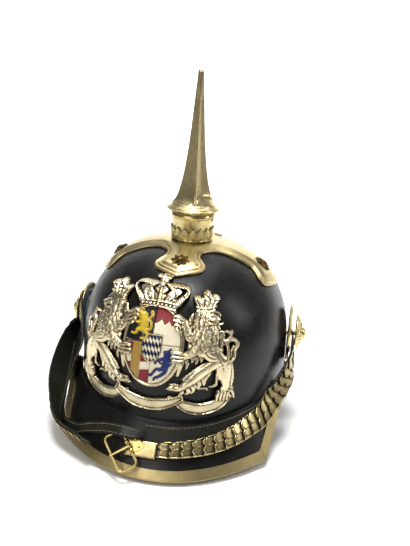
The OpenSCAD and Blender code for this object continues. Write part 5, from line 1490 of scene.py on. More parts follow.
def build_end_plate():
    place, turn = end_plate_frame()
    parts = Parts()
    x = np.concatenate([[0, 0.3, 0.7], np.linspace(1.2, END_PLATE_LENGTH - 1.2, 40),
                        [END_PLATE_LENGTH - 0.7, END_PLATE_LENGTH - 0.3, END_PLATE_LENGTH]])
    share = np.concatenate([[-1, -0.985, -0.95], np.linspace(-0.9, 0.9, 21), [0.95, 0.985, 1]])
    X, Y = np.meshgrid(x, share * WIDTH_END / 2, indexing="ij")
    edge = np.minimum(np.minimum(X, END_PLATE_LENGTH - X), WIDTH_END / 2 - np.abs(Y))
    top = END_PLATE_METAL * (0.5 + 0.5 * np.sqrt(np.clip(edge / 0.6, 0, 1)))
    top = top + 0.16 * bell(edge, 1.3, 0.4) - 0.05
    top = top + 0.12 * (1 - (2 * Y / WIDTH_END) ** 2)
    upper = vec(X, Y, top) @ turn.T + place
    lower = vec(X, Y, 0) @ turn.T + place
    parts.shell(upper, lower)
    piece = parts.piece("scale_row_end", SCALE_BRASS, "chin_strap", "scale_end_plate", "scale_brass",
                        sharp=45)
    mark_painted_shade(piece, np.zeros(len(piece.data.vertices)))


build_buckle()
build_end_plate()

# Liner

BAND_FACE, BAND_WALL, BAND_HEIGHT = -3.8, 1.2, 28.0


def build_sweatband():
    parts = Parts()
    angles = np.linspace(0, 360, 240, endpoint=False)[:, None]
    rows = np.concatenate([[0, 0.02, 0.05], np.linspace(0.1, 0.9, 14), [0.95, 0.98, 1]])[None, :]
    z = rim_at(angles) + 1 + BAND_HEIGHT * rows
    a = np.broadcast_to(angles, z.shape)
    outer = wall_point(a, z, BAND_FACE)
    fold = 0.35 * bell(rows, 0.03, 0.03)
    inner = wall_point(a, z, BAND_FACE - BAND_WALL)
    inward = unit(inner * [-1, -1, 0])
    ripple = wobble(inner, 7, 21) * 0.10 + 0.12 * np.cos(np.radians(angles) * 90) * smooth(rows, 0.75, 0.95)
    inner = inner + inward * (fold + ripple * 0.6)[..., None]
    parts.shell(outer, inner, wrap=True)
    parts.piece("liner_band", LINER_LEATHER, "helmet", "sweatband", "liner_leather", sharp=50)
    seams = Parts()
    a = np.arange(0, 360, 2.2)
    for share in (0.08, 0.9):
        p = wall_point(a, rim_at(a) + 1 + BAND_HEIGHT * share, BAND_FACE - BAND_WALL - 0.12)
        stitch_row(seams, p, unit(p * [-1, -1, 0]), 2.4, 0.7, 0.3)
    seams.piece("liner_stitches", PALE_THREAD, "helmet", slot="liner_leather")


def build_tongues(count=8, tip_radius=26.0, tip_height=118.0, wall=1.0):
    parts = Parts()
    start = BAND_FACE - BAND_WALL - 0.6
    f = np.linspace(0, 1, 60)

    def line(a):
        root = rim_at(a) + BAND_HEIGHT
        b = math.radians(a)
        tip = np.array([tip_radius * math.sin(b), -tip_radius * 1.25 * math.cos(b), tip_height])
        return [wall_point(a, root - 7, start), wall_point(a, root, start),
                wall_point(a, root + 8, start - 2.5),
                mix(wall_point(a, root + 6, start - 4), tip, 0.42) + [0, 0, 9], tip]

    pitch = 360 / count
    holes = []
    for i in range(count):
        a = pitch * (i + 0.5)
        across = np.concatenate([[-1, -0.985, -0.95], np.linspace(-0.88, 0.88, 21), [0.95, 0.985, 1]])
        half = pitch * 0.42 * (1 - 0.55 * f * f)
        # The tip is rounded, like a petal
        half = half * np.sqrt(np.clip(1 - np.clip((f - 0.9) / 0.1, 0, 1) ** 2.2, 0.03, 1))
        grid = np.stack([[through(line(a + s * h), np.array(g)) for g, h in zip(f, half)] for s in across])
        middle = grid[len(across) // 2]
        inward = unit(np.stack([-middle[:, 0], -middle[:, 1], -60 * f], -1))[None]
        sag = wobble(grid, 11, 30 + i) * 0.35 * smooth(f, 0.2, 0.6)[None]
        grid = grid + inward * sag[..., None]
        edge = np.clip((1 - np.abs(across)) / 0.08, 0, 1)[:, None]
        parts.shell(grid, grid + inward * (wall * (0.45 + 0.55 * edge))[..., None])
        holes.append((middle[-6], inward[0, -6]))
    parts.piece("liner_petals", LINER_LEATHER, "helmet", "liner_tongues", "liner_leather", sharp=50)
    eyes = Parts()
    for p, n in holes:
        turn = frame_of(n, np.array([0.3, 0.2, 1.0]))
        profile = rounded([[1.4, 0.3], [1.5, 1.25], [2.0, 1.5], [2.9, 1.35], [3.1, 0.9]], 0.3)
        turned(eyes, profile, 32, p, turn)
    eyes.piece("liner_eyelets", HIDDEN_BRASS, "helmet", slot="dark_brass")


build_sweatband()
build_tongues()

# Helmet plate

# A place on the plate is [p, w]: p to the wearer's left of its middle line, w up from the shield's middle.
# The middle line leans a little and stands off the plate's own middle, as it does in the photograph.
PLATE_LEAN, PLATE_OFF = 0.025, -2.5
SEEN_LEAN, SEEN_OFF = 0.048, -3.5
MERIDIAN_Z = mix(RIM, SKULL_TOP - 0.2, 1 - (1 - np.arange(61) / 60) ** 2)
MERIDIAN_Y = SKULL[1] * shrink(MERIDIAN_Z)
MERIDIAN_S = lengths_of(np.diff(MERIDIAN_Y), np.diff(MERIDIAN_Z))
SHIELD_S = np.interp(SHIELD_Z, MERIDIAN_Z, MERIDIAN_S)
PLATE_EDGE = 0.8


def plate_point(p, w, lift):
    """Point over the plate's back, bent round the shell."""
    u = p + PLATE_OFF + PLATE_LEAN * w
    z = np.interp(w + SHIELD_S, MERIDIAN_S, MERIDIAN_Z)
    angle = np.degrees((u + PLATE_SHIFT) / (SKULL[0] * shrink(z)))
    return wall_point(angle, z, PLATE_GAP + PLATE_SPREAD * (u / 62) ** 2 + lift)


def seen(*places):
    """Places read from the photograph on the wearer's left half, set off from the middle line."""
    return np.array([[u - SEEN_OFF - SEEN_LEAN * w, w] for u, w in places])


def blur(field, cells):
    """Three box filters each way, close to a round blur."""
    n = max(1, int(cells))
    for axis in (0, 1):
        for _ in range(3):
            pad = [(n + 1, n) if a == axis else (0, 0) for a in (0, 1)]
            total = np.cumsum(np.pad(field, pad, mode="edge"), axis=axis)
            size = field.shape[axis]
            upper = np.take(total, range(2 * n + 1, 2 * n + 1 + size), axis=axis)
            field = (upper - np.take(total, range(size), axis=axis)) / (2 * n + 1)
    return field


class Relief:
    """Heights over [p, w] in millimetres, with the outline kept as a signed distance."""

    def __init__(self, low, high, step):
        self.step, self.low = step, np.array(low, float)
        self.P, self.W = np.meshgrid(np.arange(low[0], high[0], step), np.arange(low[1], high[1], step),
                                     indexing="ij")
        self.height = np.zeros_like(self.P)
        self.edge = np.full_like(self.P, 9.0)
        self.under = np.zeros_like(self.P)
        # Painted shade laid on flat fields, such as the ribbons', added to the hollows' shade
        self.dirt_and_shade = np.zeros_like(self.P)

    def window(self, points, reach):
        a = np.maximum(((np.min(points, 0) - reach - self.low) / self.step).astype(int), 0)
        b = ((np.max(points, 0) + reach - self.low) / self.step).astype(int) + 2
        return slice(a[0], max(b[0], a[0] + 1)), slice(a[1], max(b[1], a[1] + 1))

    def along(self, points, radii, where):
        """Signed distance to a line with a width, its half width there, and the share along it."""
        P, W = self.P[where], self.W[where]
        best, size, place = np.full(P.shape, 99.0), np.ones(P.shape), np.zeros(P.shape)
        spans = len(points) - 1
        for k in range(spans):
            a, d = points[k], points[k + 1] - points[k]
            t = np.clip(((P - a[0]) * d[0] + (W - a[1]) * d[1]) / max(d @ d, 1e-9), 0, 1)
            r = mix(radii[k], radii[k + 1], t)
            q = np.hypot(P - a[0] - t * d[0], W - a[1] - t * d[1]) - r
            nearer = q < best
            best, size = np.where(nearer, q, best), np.where(nearer, r, size)
            place = np.where(nearer, (k + t) / spans, place)
        return best, size, place

    def raise_to(self, where, level, blend=0.0):
        now = self.height[where]
        top = np.maximum(now, level)
        if blend:
            ease = np.maximum(blend - np.abs(now - level), 0) ** 2 / (4 * blend)
            top = top + ease * (level > 0) * (now > 0)
        self.height[where] = top

    def stroke(self, points, radii, top, blend=0.6, outline=True):
        """A rounded limb. top is its height over the plate's back, at its middle line."""
        points = np.asarray(points, float)
        radii = np.broadcast_to(np.asarray(radii, float), (len(points),))
        if len(points) > 2:
            f = np.linspace(0, 1, 6 * (len(points) - 1) + 1)
            radii = np.maximum(through(radii, f), 0.12)
            points = through(points, f)
        where = self.window(points, radii.max() + 0.6)
        if not self.P[where].size:
            return
        edge, size, _ = self.along(points, radii, where)
        across = np.clip((edge + size) / size, 0, 1)
        level = np.where(edge < 0, PLATE_EDGE + (top - PLATE_EDGE) * np.sqrt(1 - across**2), 0)
        self.raise_to(where, level, blend)
        if outline:
            self.edge[where] = np.minimum(self.edge[where], edge)

    def settle(self, reach=0.8):
        """Keeps the smooth masses, so that locks laid later stand on them."""
        self.under = blur(self.height, reach / self.step)

    def lock(self, points, width, rise=0.75, groove=0.3):
        """A lock of hair over the masses: low at its root, high at its tip, with carved hairs."""
        points = np.asarray(points, float)
        f = np.linspace(0, 1, 9)
        line = through(points, f) if len(points) > 2 else mix(points[0], points[-1], f[:, None])
        radii = width * np.interp(f, [0, 0.35, 0.75, 1.0], [0.55, 1.0, 0.72, 0.10])
        where = self.window(line, width + 0.6)
        if not self.P[where].size:
            return
        edge, size, place = self.along(line, radii, where)
        across = np.clip((edge + size) / size, 0, 1)
        hairs = groove * (bell(across, 0, 0.16) * 0.9 + bell(across, 0.52, 0.13) * 0.6)
        level = np.maximum(self.under[where], PLATE_EDGE) + rise * (0.25 + 0.75 * place) \
            * np.sqrt(1 - across**2) - hairs * rise
        self.raise_to(where, np.where(edge < 0, level, 0))
        self.edge[where] = np.minimum(self.edge[where], edge)

    def shape_edge(self, points, smooth_line=False):
        """Signed distance to a closed outline."""
        points = np.asarray(points, float)
        if smooth_line:
            loop = np.concatenate([points[-1:], points, points[:2]])
            f = np.linspace(1 / (len(loop) - 1), 1 - 1 / (len(loop) - 1), 8 * len(points) + 1)
            points = through(loop, f)[:-1]
        best = np.full(self.P.shape, 99.0)
        inside = np.zeros(self.P.shape, bool)
        for a, b in zip(points, np.roll(points, -1, axis=0)):
            d = b - a
            t = np.clip(((self.P - a[0]) * d[0] + (self.W - a[1]) * d[1]) / max(d @ d, 1e-9), 0, 1)
            best = np.minimum(best, np.hypot(self.P - a[0] - t * d[0], self.W - a[1] - t * d[1]))
            crosses = (a[1] > self.W) != (b[1] > self.W)
            if abs(d[1]) > 1e-9:
                inside ^= crosses & (self.P < a[0] + (self.W - a[1]) / d[1] * d[0])
        return np.where(inside, -best, best)

    def area(self, edge, top, roll=1.5, blend=0.4):
        """A raised area with a rounded border."""
        level = PLATE_EDGE + (top - PLATE_EDGE) * np.sqrt(1 - (1 - np.clip(-edge / roll, 0, 1)) ** 2)
        self.raise_to((slice(None), slice(None)), np.where(edge < 0, level, 0), blend)
        self.edge = np.minimum(self.edge, edge)

    def carve(self, points, width, depth):
        """A groove along a line."""
        points = np.asarray(points, float)
        if len(points) > 2:
            points = through(points, np.linspace(0, 1, 6 * (len(points) - 1) + 1))
        where = self.window(points, width * 3)
        gap, _, _ = self.along(points, np.zeros(len(points)), where)
        self.height[where] = np.maximum(self.height[where] - depth * bell(gap, 0, width),
                                        np.minimum(self.height[where], PLATE_EDGE * 0.7))

    def bead(self, place, radius, rise=0.8):
        place = np.asarray(place, float)
        where = self.window(place[None], radius + 0.4)
        if not self.P[where].size:
            return
        far = np.hypot(self.P[where] - place[0], self.W[where] - place[1])
        level = self.under[where].max() + rise * np.sqrt(np.clip(1 - (far / radius) ** 2, 0, 1))
        self.raise_to(where, np.where(far < radius, level, 0))
        self.edge[where] = np.minimum(self.edge[where], far - radius)

    def cut(self, edge, where=None):
        where = where or (slice(None), slice(None))
        self.edge[where] = np.maximum(self.edge[where], -edge)

    def cut_line(self, points, radii):
        points = np.asarray(points, float)
        radii = np.broadcast_to(np.asarray(radii, float), (len(points),))
        f = np.linspace(0, 1, 6 * (len(points) - 1) + 1)
        line, sizes = (through(points, f), through(radii, f)) if len(points) > 2 else (points, radii)
        where = self.window(line, radii.max() + 1)
        edge, _, _ = self.along(line, sizes, where)
        self.cut(edge, where)

    def solid(self, name, material, node, slot, base=0.0, roll=0.5):
        """Makes the closed piece: the heights, a wall along the outline, and a flat back."""
        cell = (self.edge[:-1, :-1] + self.edge[1:, :-1] + self.edge[:-1, 1:] + self.edge[1:, 1:]) / 4 < 0
        used = np.zeros(self.P.shape, bool)
        full = np.ones(self.P.shape, bool)
        for di in (0, 1):
            for dj in (0, 1):
                spot_i, spot_j = slice(di, di + cell.shape[0]), slice(dj, dj + cell.shape[1])
                used[spot_i, spot_j] |= cell
                full[spot_i, spot_j] &= cell
        full[[0, -1]] = False
        full[:, [0, -1]] = False
        index = np.full(self.P.shape, -1)
        index[used] = np.arange(used.sum())
        gp, gw = np.gradient(self.edge, self.step)
        size = np.maximum(gp**2 + gw**2, 0.2)
        limit = 0.7 * self.step
        shift_p = np.where(full, 0, np.clip(-self.edge * gp / size, -limit, limit))
        shift_w = np.where(full, 0, np.clip(-self.edge * gw / size, -limit, limit))
        p, w = (self.P + shift_p)[used], (self.W + shift_w)[used]
        soft = 0.55 + 0.45 * np.sqrt(np.clip(-self.edge / roll, 0, 1))
        height = np.maximum(self.height, PLATE_EDGE if not base else base + 0.1)
        h = (base + (height - base) * soft)[used]
        upper, lower = plate_point(p, w, h), plate_point(p, w, np.full_like(h, base))
        i, j = np.nonzero(cell)
        a, b, c, d = index[i, j], index[i + 1, j], index[i + 1, j + 1], index[i, j + 1]
        n = len(p)
        faces = [np.stack([a, b, c, d], -1), np.stack([d, c, b, a], -1) + n]
        padded = np.pad(cell, 1)
        for di, dj, q, r in ((0, -1, a, b), (1, 0, b, c), (0, 1, c, d), (-1, 0, d, a)):
            open_side = ~padded[i + 1 + di, j + 1 + dj]
            q, r = q[open_side], r[open_side]
            faces.append(np.stack([r, q, q + n, r + n], -1))
        piece = new_mesh(name, np.concatenate([upper, lower]), np.concatenate(faces), material, "helmet",
                         node, slot, 50)
        # Painted shade: darker in hollows below the blurred relief, on the ribbons' flat fields, near the
        # outline and on the whole back
        smooth_height = blur(self.height, 0.9 / self.step)
        hollow = np.clip(self.dirt_and_shade + (smooth_height - self.height) * 3.4, 0, 1)
        painted_edge_shade = np.clip(1 - (-self.edge) / 0.5, 0, 1) * 0.35
        mark_painted_shade(piece, np.concatenate([np.maximum(hollow, painted_edge_shade)[used], np.ones(n)]))
        return piece


def mirrored(side, points):
    return np.asarray(points, float) * [side, 1]


def draw_lion(r, side):
    """A crowned lion that stands upright, holds the shield and looks outwards."""
    def s(*places):
        return mirrored(side, seen(*places))

    def locks(rise, *lines):
        for width, *places in lines:
            r.lock(s(*places), width, rise)

    # Body, limbs and tail as smooth masses
    r.stroke(s((33, 27), (34, 18), (36, 8), (37, 2)), [7.5, 8.5, 10.5, 9.5], 4.0)
    r.stroke(s((38, 1), (43, -5), (50, -12)), [7.6, 6.4, 4.4], 3.6)
    r.stroke(s((31, 0), (29, -2), (24, -5.5), (19, -6.6), (15, -6)), [4.6, 4.0, 3.2, 2.8, 2.4], 3.7)
    r.stroke(s((24.5, 8), (21.5, 14), (18.5, 20), (14.5, 23.5)), [3.4, 3.3, 3.0, 2.8], 3.8)
    r.stroke(s((50, -12), (52, -18), (53, -26), (53.5, -33)), [5.4, 5.8, 4.6, 3.0], 3.4)
    r.stroke(s((54, -31), (52.5, -36), (51, -40)), [3.2, 3.4, 4.2], 3.3)
    r.stroke(s((48, -12), (42, -14.5), (35, -19.5), (28, -26), (22, -31)), [4.2, 4.2, 4.4, 4.0, 3.2], 3.3)
    r.stroke(s((22, -31), (18, -33.5), (12, -32.5)), [3.0, 2.6, 1.6], 2.9)
    r.settle()
    # Crown of the lion: a flaring bell with three lobes and a beaded edge
    crown_edge = r.shape_edge(s((27, 29), (26, 34), (23.2, 39), (22.8, 42.6), (26.4, 43), (29, 41.4),
                                (29.6, 45.4), (32.2, 47.6), (35, 46), (35.6, 42.4), (38.2, 43.4),
                                (41.8, 42), (42.4, 38.4), (40.2, 34), (39.4, 29)), True)
    r.area(crown_edge, 3.4, 2.6)
    r.settle(0.4)
    r.stroke(s((26.8, 30.6), (33, 29.4), (39.6, 30.6)), 1.0, 4.0, 0.2)
    r.stroke(s((26, 34), (33, 32.6), (40.6, 34)), 0.55, 3.9, 0.1)
    for u0, u1, u2 in ((28.5, 26.8, 25.2), (31.4, 31.2, 30.8), (34.8, 35.2, 35.4), (37.6, 38.8, 40)):
        r.carve(s((u0, 34), (u1, 37.5), (u2, 40.5)), 0.45, 0.9)
    for u, w, size in ((24.6, 41.2, 1.3), (27.4, 41.6, 0.9), (30.8, 43.2, 1.0), (32.4, 45.6, 1.4),
                       (34.4, 43.6, 1.0), (37.4, 41.4, 0.9), (40.4, 40.4, 1.3), (33, 40, 1.2),
                       (29, 37.5, 0.9), (37, 37.5, 0.9), (33, 36.4, 0.8)):
        r.bead(s((u, w))[0], size, 0.8)
    r.settle()
    draw = np.random.default_rng(20)
    # Mane: rows of locks that fan out from the middle, the lowest row first
    rows = [(1.6, 26.5, 48), (5.0, 26, 49), (8.6, 25.5, 48), (12.2, 25.2, 45.5), (15.8, 24.8, 43.5),
            (19.4, 24.6, 42.5), (23.0, 25, 42), (26.4, 26.6, 41)]
    for k, (w, low, high) in enumerate(rows):
        count = int(round((high - low) / 3.2))
        for i in range(count + 1):
            f = (i + 0.5 * (k % 2)) / count
            if f > 1:
                continue
            u = mix(low, high, f) + draw.normal() * 0.25
            lean = (f - 0.45) * 3.6 + draw.normal() * 0.35
            drop = 4.9 + draw.normal() * 0.3
            curl = 1.5 * np.sign(lean + 1e-6) * (0.6 + abs(lean) * 0.2)
            r.lock(s((u, w + 2.8), (u + lean * 0.3, w), (u + lean * 0.7 - curl * 0.3, w - drop * 0.6),
                     (u + lean + curl * 0.7, w - drop)), 2.0 + draw.normal() * 0.1, 1.45, 0.26)
    # Loose curls on the outer side, and tufts on the inner side
    locks(0.9, (1.5, (39, 27), (42.5, 26.5), (45, 24.5), (43.6, 22.6)),
          (1.3, (39, 23), (43, 21.8), (45.6, 20.6)), (1.1, (41, 19.5), (45, 17), (48.8, 18.6)),
          (1.4, (40, 16), (44.6, 15.6), (46.6, 12.6)), (1.4, (45, 11), (49, 10), (50.6, 6.6)),
          (1.4, (46, 6), (50.4, 4.6), (51, 0.4)), (1.2, (26, 24), (23.2, 22.6), (22.4, 19.4)),
          (1.2, (25.6, 19), (23.2, 17), (24.4, 13.6)), (1.3, (26.6, 7), (25, 3), (24, -2.6)),
          (1.3, (28.6, 4), (27.4, 0), (25.8, -4.2)))
    # Face, turned outwards: brow, eye, muzzle and jaw
    r.stroke(s((34.5, 26.2), (38, 26.8), (41, 25)), [1.2, 1.4, 1.1], 5.0, 0.3)
    r.stroke(s((37, 24.4), (40, 23.6), (42.2, 23.2)), [2.6, 2.7, 2.3], 5.6, 0.6)
    r.stroke(s((37.6, 20.4), (41.4, 20.2)), [2.0, 1.6], 5.2, 0.5)
    r.stroke(s((42.8, 24.2), (43.8, 23.6)), [1.0, 0.8], 5.9, 0.3)
    r.carve(s((38.4, 21.4), (41.2, 21.5), (44.4, 21.2)), 0.35, 1.2)
    r.bead(s((37.4, 25.0))[0], 0.75, 0.9)
    r.carve(s((36.2, 24.4), (37.4, 23.8), (38.6, 24.6)), 0.3, 0.7)
    # Paw on the shield: four toes with claws
    for w, u in ((25.6, 11.4), (22.6, 11.6), (19.2, 12.6), (15.6, 14.4)):
        r.stroke(s((17.5, w - 2.4), (14.4, w - 0.4), (u, w - 0.4), (u - 0.4, w - 2.2)),
                 [1.5, 1.5, 1.3, 0.7], 4.5, 0.25)
    for w in (23.9, 20.7, 17.2):
        r.carve(s((17.8, w - 3), (15, w - 1.8), (11.6, w - 1.2)), 0.3, 0.8)
    r.carve(s((24, 10), (21.4, 14.6), (18.4, 19)), 0.35, 0.35)
    # Lower paw, with its toes round the shield's edge
    for w, u in ((-3.4, 13.4), (-6.4, 12.6), (-9.2, 13.4)):
        r.stroke(s((20.5, w * 0.75 - 2.2), (17, w - 0.2), (u, w), (u - 0.6, w - 1.5)),
                 [1.7, 1.6, 1.3, 0.7], 4.4, 0.25)
    r.carve(s((21, -5.8), (17, -5.4), (13.6, -5.0)), 0.3, 0.7)
    r.carve(s((21, -8.2), (17, -8.2), (13.6, -8)), 0.3, 0.7)
    locks(0.7, (1.5, (22, -8), (24.4, -12), (23.4, -17.6)), (1.1, (20, -9.5), (21, -12.5), (18.4, -14.6)),
          (1.4, (26, -6.5), (28.2, -8.6), (27.4, -12)), (1.5, (29, -5.5), (31.4, -9), (30.6, -13)),
          (1.5, (32, -4.5), (34.6, -8), (34.4, -11.6)), (1.2, (27, -1), (24.4, -5), (21.6, -6.2)))
    # Muscles of the belly and hip
    r.carve(s((36, -1.5), (39, -5.5), (44, -7.8)), 0.5, 0.4)
    r.carve(s((40, 0), (44.6, -3.6), (48.4, -9)), 0.45, 0.35)
    r.carve(s((33, 1), (31, -3), (26, -5.4)), 0.4, 0.35)
    r.carve(s((48, -9.5), (50, -13), (51, -18)), 0.5, 0.5)
    # Long leaves of hair on the leg that reaches forward
    locks(0.85, (1.9, (46, -12), (38, -13.4), (31, -17.6), (26, -21)),
          (1.9, (36, -15.4), (28, -20.4), (20.6, -25.8)), (1.5, (32, -20), (24.6, -24.4), (22, -26.4)),
          (2.0, (33, -22), (25, -28.4), (18.6, -31.6)), (1.9, (27, -28.4), (19, -31.2), (11.4, -29.6)),
          (1.7, (22, -31), (15, -34.6), (8.4, -33.4)), (1.8, (42, -15), (41.4, -19.6), (39.6, -24.4)),
          (1.8, (38, -18), (39.4, -22.6), (37.6, -27)), (1.9, (35, -21), (37.6, -26), (37.4, -30.6)),
          (1.8, (32, -24.6), (34.4, -29.4), (31.6, -32)),
          (1.2, (29, -27), (33, -32.4), (39.4, -33), (40, -35.4)),
          (1.6, (27, -29), (30, -33.6), (27.4, -37.4)), (1.7, (24, -31), (26.4, -35.4), (23.4, -38)),
          (1.5, (20, -33), (21.4, -36.6), (18.4, -38.6)))
    # Feathers down the back of the standing leg, its spur, and its paw
    for k in range(8):
        w = -14 - 2.7 * k
        out = 57.6 + 2.0 * math.sin(math.pi * (k + 0.6) / 8)
        r.lock(s((54.5, w + 2.4), (out - 1, w + 0.6), (out + 0.6, w - 3.2)), 1.5, 0.75)
    for k in range(5):
        w = -17 - 3.0 * k
        r.lock(s((50.5, w + 2.6), (48, w + 0.4), (46.4, w - 3)), 1.4, 0.65)
    r.lock(s((48, -28), (45.4, -31.4), (41, -31.6)), 1.1, 0.6)
    for u in (47.6, 50.2, 52.8, 55.2):
        r.stroke(s((u + 0.8, -36), (u - 0.2, -39.6), (u - 0.6, -43)), [1.4, 1.6, 1.1], 4.0, 0.2)
    # Tail: two strands that run up to a ring, and a tuft beside the mane
    r.stroke(s((55, -14), (59, -9.6), (59.4, -4), (60.8, 0.4), (58.6, 4.2), (54.4, 4.6), (52.6, 1.4)),
             [1.1, 1.3, 1.2, 1.3, 1.3, 1.3, 1.2], 2.8, 0.3)
    r.stroke(s((54, -12), (54.6, -6), (53.4, 0), (51.6, 4.6)), [1.3, 1.3, 1.3, 1.2], 2.8, 0.3)
    r.stroke(s((56.8, -8.6), (56.6, -4), (58.2, -0.6)), [0.6, 0.9, 0.8], 2.5, 0.2)
    r.stroke(s((52, 4), (54.8, 7), (54.2, 10.4), (51.2, 11.8)), [1.2, 1.3, 1.2, 0.9], 2.9, 0.3)
    r.settle()
    locks(0.6, (1.2, (49.4, 4), (48.6, 8), (51, 12)), (1.1, (52, 5), (56.4, 6), (58.4, 3.4)),
          (1.1, (53.4, 6.4), (56.4, 9.4), (55.4, 12.4)), (1.1, (59.4, 3), (62.4, 0.6), (61.6, -3.4)))
    r.cut_line(s((48.9, -27.4), (49.6, -31)), [0.9, 1.4])


def draw_crown(r):
    """The big crown: a curved band, fan-shaped ribs between beaded arches, and a cross that is cut off."""
    half = np.array([[13.6, 29.4], [17.4, 33.4], [19.8, 38.4], [21.8, 42.6], [22.4, 47], [20.4, 51],
                     [15.6, 53.4], [9.6, 53.6], [4.4, 53.8]])
    right = half - [0.6, 0]
    outline = np.concatenate([right, [[3.4, 55.4], [4.6, 62.6], [-4.6, 62.6], [-3.4, 55.4]],
                              right[::-1] * [-1, 1], [[-7, 30.6], [0, 31.0], [7, 30.6]]])
    r.area(r.shape_edge(outline), 3.0, 2.0)
    r.settle(0.5)
    for s in (-1, 1):
        # Arches, each with a pearl row between two ridges
        arch = mirrored(s, [[12.4, 34.5], [16, 37.6], [19, 42.4], [20.2, 47], [18, 50.6], [13, 51.9],
                            [6, 51.4], [1.4, 50.4]])
        r.stroke(arch, 1.5, 3.6, 0.3)
        r.settle(0.3)
        for q in through(arch, np.linspace(0.04, 0.97, 22)):
            r.bead(q, 0.78, 0.55)
        inner = mirrored(s, [[8.6, 36], [11.4, 40], [11.8, 44.6], [9, 49.4], [3, 50.4]])
        r.stroke(inner, [1.3, 1.5, 1.5, 1.4, 1.0], 3.9, 0.3)
        for k in (-0.5, 0.5):
            groove = [[8.6 + k, 37], [11.4 + k, 40.6], [11.8 + k, 44.6], [9.4 + k * 0.6, 48.6]]
            r.carve(mirrored(s, groove), 0.28, 0.5)
        # Folds of the cap, and the leaf that rises from the band at each side
        for a, b in ((3.4, 4.6), (5.6, 7.4), (14.2, 17.0)):
            r.carve(mirrored(s, [[a, 36.4], [(a + b) / 2, 39.4], [b, 42.4]]), 0.5, 0.7)
        r.lock(mirrored(s, [[13.4, 34.6], [14.6, 38.6], [17.2, 41.6]]), 1.3, 0.8)
        r.lock(mirrored(s, [[5.6, 36], [5.8, 40], [7.6, 43]]), 1.4, 0.8)
    r.stroke([[0, 36], [0, 44], [0, 52]], [2.0, 1.8, 1.4], 3.9, 0.3)
    r.settle(0.3)
    for w in np.arange(37.6, 52, 1.9):
        r.bead([0, w], 0.85, 0.6)
    # Band with two raised lines and set stones between them
    for w, size, top in ((31.6, 0.9, 4.0), (36.2, 0.8, 4.0)):
        line = [[-13.4 - (w - 31) * 0.3, w - 1.4], [-7, w - 0.2], [0, w + 0.3], [7, w - 0.2],
                [13.4 + (w - 31) * 0.3, w - 1.4]]
        r.stroke(line, size, top, 0.15)
    r.settle(0.25)
    for k in range(-4, 5):
        r.bead([k * 3.0, 34.0 - 1.1 * (k / 4) ** 2], 0.95 if k % 2 else 1.2, 0.75)
    # Orb and the foot of the cross
    r.bead([0, 54.2], 2.3, 1.2)
    r.carve([[-2.2, 54.4], [0, 53.8], [2.2, 54.4]], 0.3, 0.6)
    r.stroke([[0, 56.5], [0, 62.4]], [1.4, 2.2], 3.7, 0.2)
    r.stroke([[-4.4, 61.0], [4.4, 61.0]], [1.5, 1.5], 3.5, 0.2)
    r.carve([[0, 57], [0, 62]], 0.4, 0.5)
    for s in (-1, 1):
        gap = [[10.8, 51.0], [15.2, 49.7], [17.2, 46.6], [15.6, 43.0], [12.6, 39.4]]
        r.cut_line(mirrored(s, gap) - [0.6, 0], [0.4, 1.25, 1.3, 1.1, 0.5])
        r.cut_line(mirrored(s, [[2.9, 52.0], [6.2, 47.6], [3.1, 42.8]]), [0.75, 0.95, 0.8])


def draw_ribbon(r, line, half, floor, taper=(0.0, 0.0)):
    """A flat ribbon with raised borders. taper narrows its start and its end."""
    f = np.linspace(0, 1, 41)
    run = through(np.asarray(line, float), f)
    halves = half * (1 - taper[0] * smooth(f, 0.3, 0) - taper[1] * smooth(f, 0.7, 1))
    where = r.window(run, half + 1)
    edge, size, place = r.along(run, halves, where)
    far = np.clip(edge + size, 0, None)
    border = np.exp(-np.clip((np.abs(far - size + 0.95) / 0.5), 0, 9) ** 2.4)
    wave = 0.12 * np.cos(place * math.pi * 9) * (1 - border)
    level = np.where(edge < 0, floor + 1.15 * border + wave, 0)
    flat = np.where(edge < 0, 0, r.height[where])
    r.height[where] = np.maximum(flat, level)
    # Painted shade on the ribbon's flat field between its raised borders
    r.dirt_and_shade[where] = np.where(edge < 0, 0.30 * (1 - border), r.dirt_and_shade[where])
    r.edge[where] = np.minimum(r.edge[where], edge)


def draw_ribbons(r):
    for s in (-1, 1):
        side = mirrored(s, seen((12, -41.4), (19, -45.6), (27, -49.4), (35, -50.8), (44, -49.4), (50.4, -46),
                                (55.4, -40.2), (57, -36)))
        draw_ribbon(r, side, 5.2, 1.0, taper=(0.6, 0.25))
    middle = [[-25, -41.6], [-17, -45.6], [-8.6, -48], [0, -48.8], [8.6, -48], [17, -45.6], [25, -41.6]]
    draw_ribbon(r, middle, 5.2, 1.75, taper=(0.35, 0.35))
    r.settle(0.3)
    for s in (-1, 1):
        for points, sizes, top in (
                (((50, -36.6), (54.8, -34.6), (59, -37.4), (60.4, -42.4)), [1.1, 1.5, 1.5, 1.0], 3.4),
                (((52, -38.6), (55.6, -38), (58, -42)), [0.9, 1.3, 0.9], 3.2)):
            r.stroke(mirrored(s, seen(*points)), sizes, top, 0.2)


def shield_edge(r, over=0.0):
    half = SHIELD_HALF + [over - 0.8, over]
    k = np.hypot(r.P / half[0], r.W / half[1])
    slope = np.hypot(r.P / half[0] ** 2, r.W / half[1] ** 2) / np.maximum(k, 0.05)
    return (k - 1) / np.maximum(slope, 0.01)


def build_plate():
    r = Relief([-69, -58], [69, 65], 0.36)
    r.area(np.maximum(shield_edge(r, 1.4), -shield_edge(r, -0.4)), 1.5, 0.8)
    for s in (1, -1):
        r.stroke([[s * 23.5, -14], [s * 22, -22]], [2.0, 1.2], 1.6, 0.2)
    draw_ribbons(r)
    for s in (1, -1):
        draw_lion(r, s)
    draw_crown(r)
    r.solid("plate_relief", PLATE_METAL, "helmet_plate", "plate_metal")


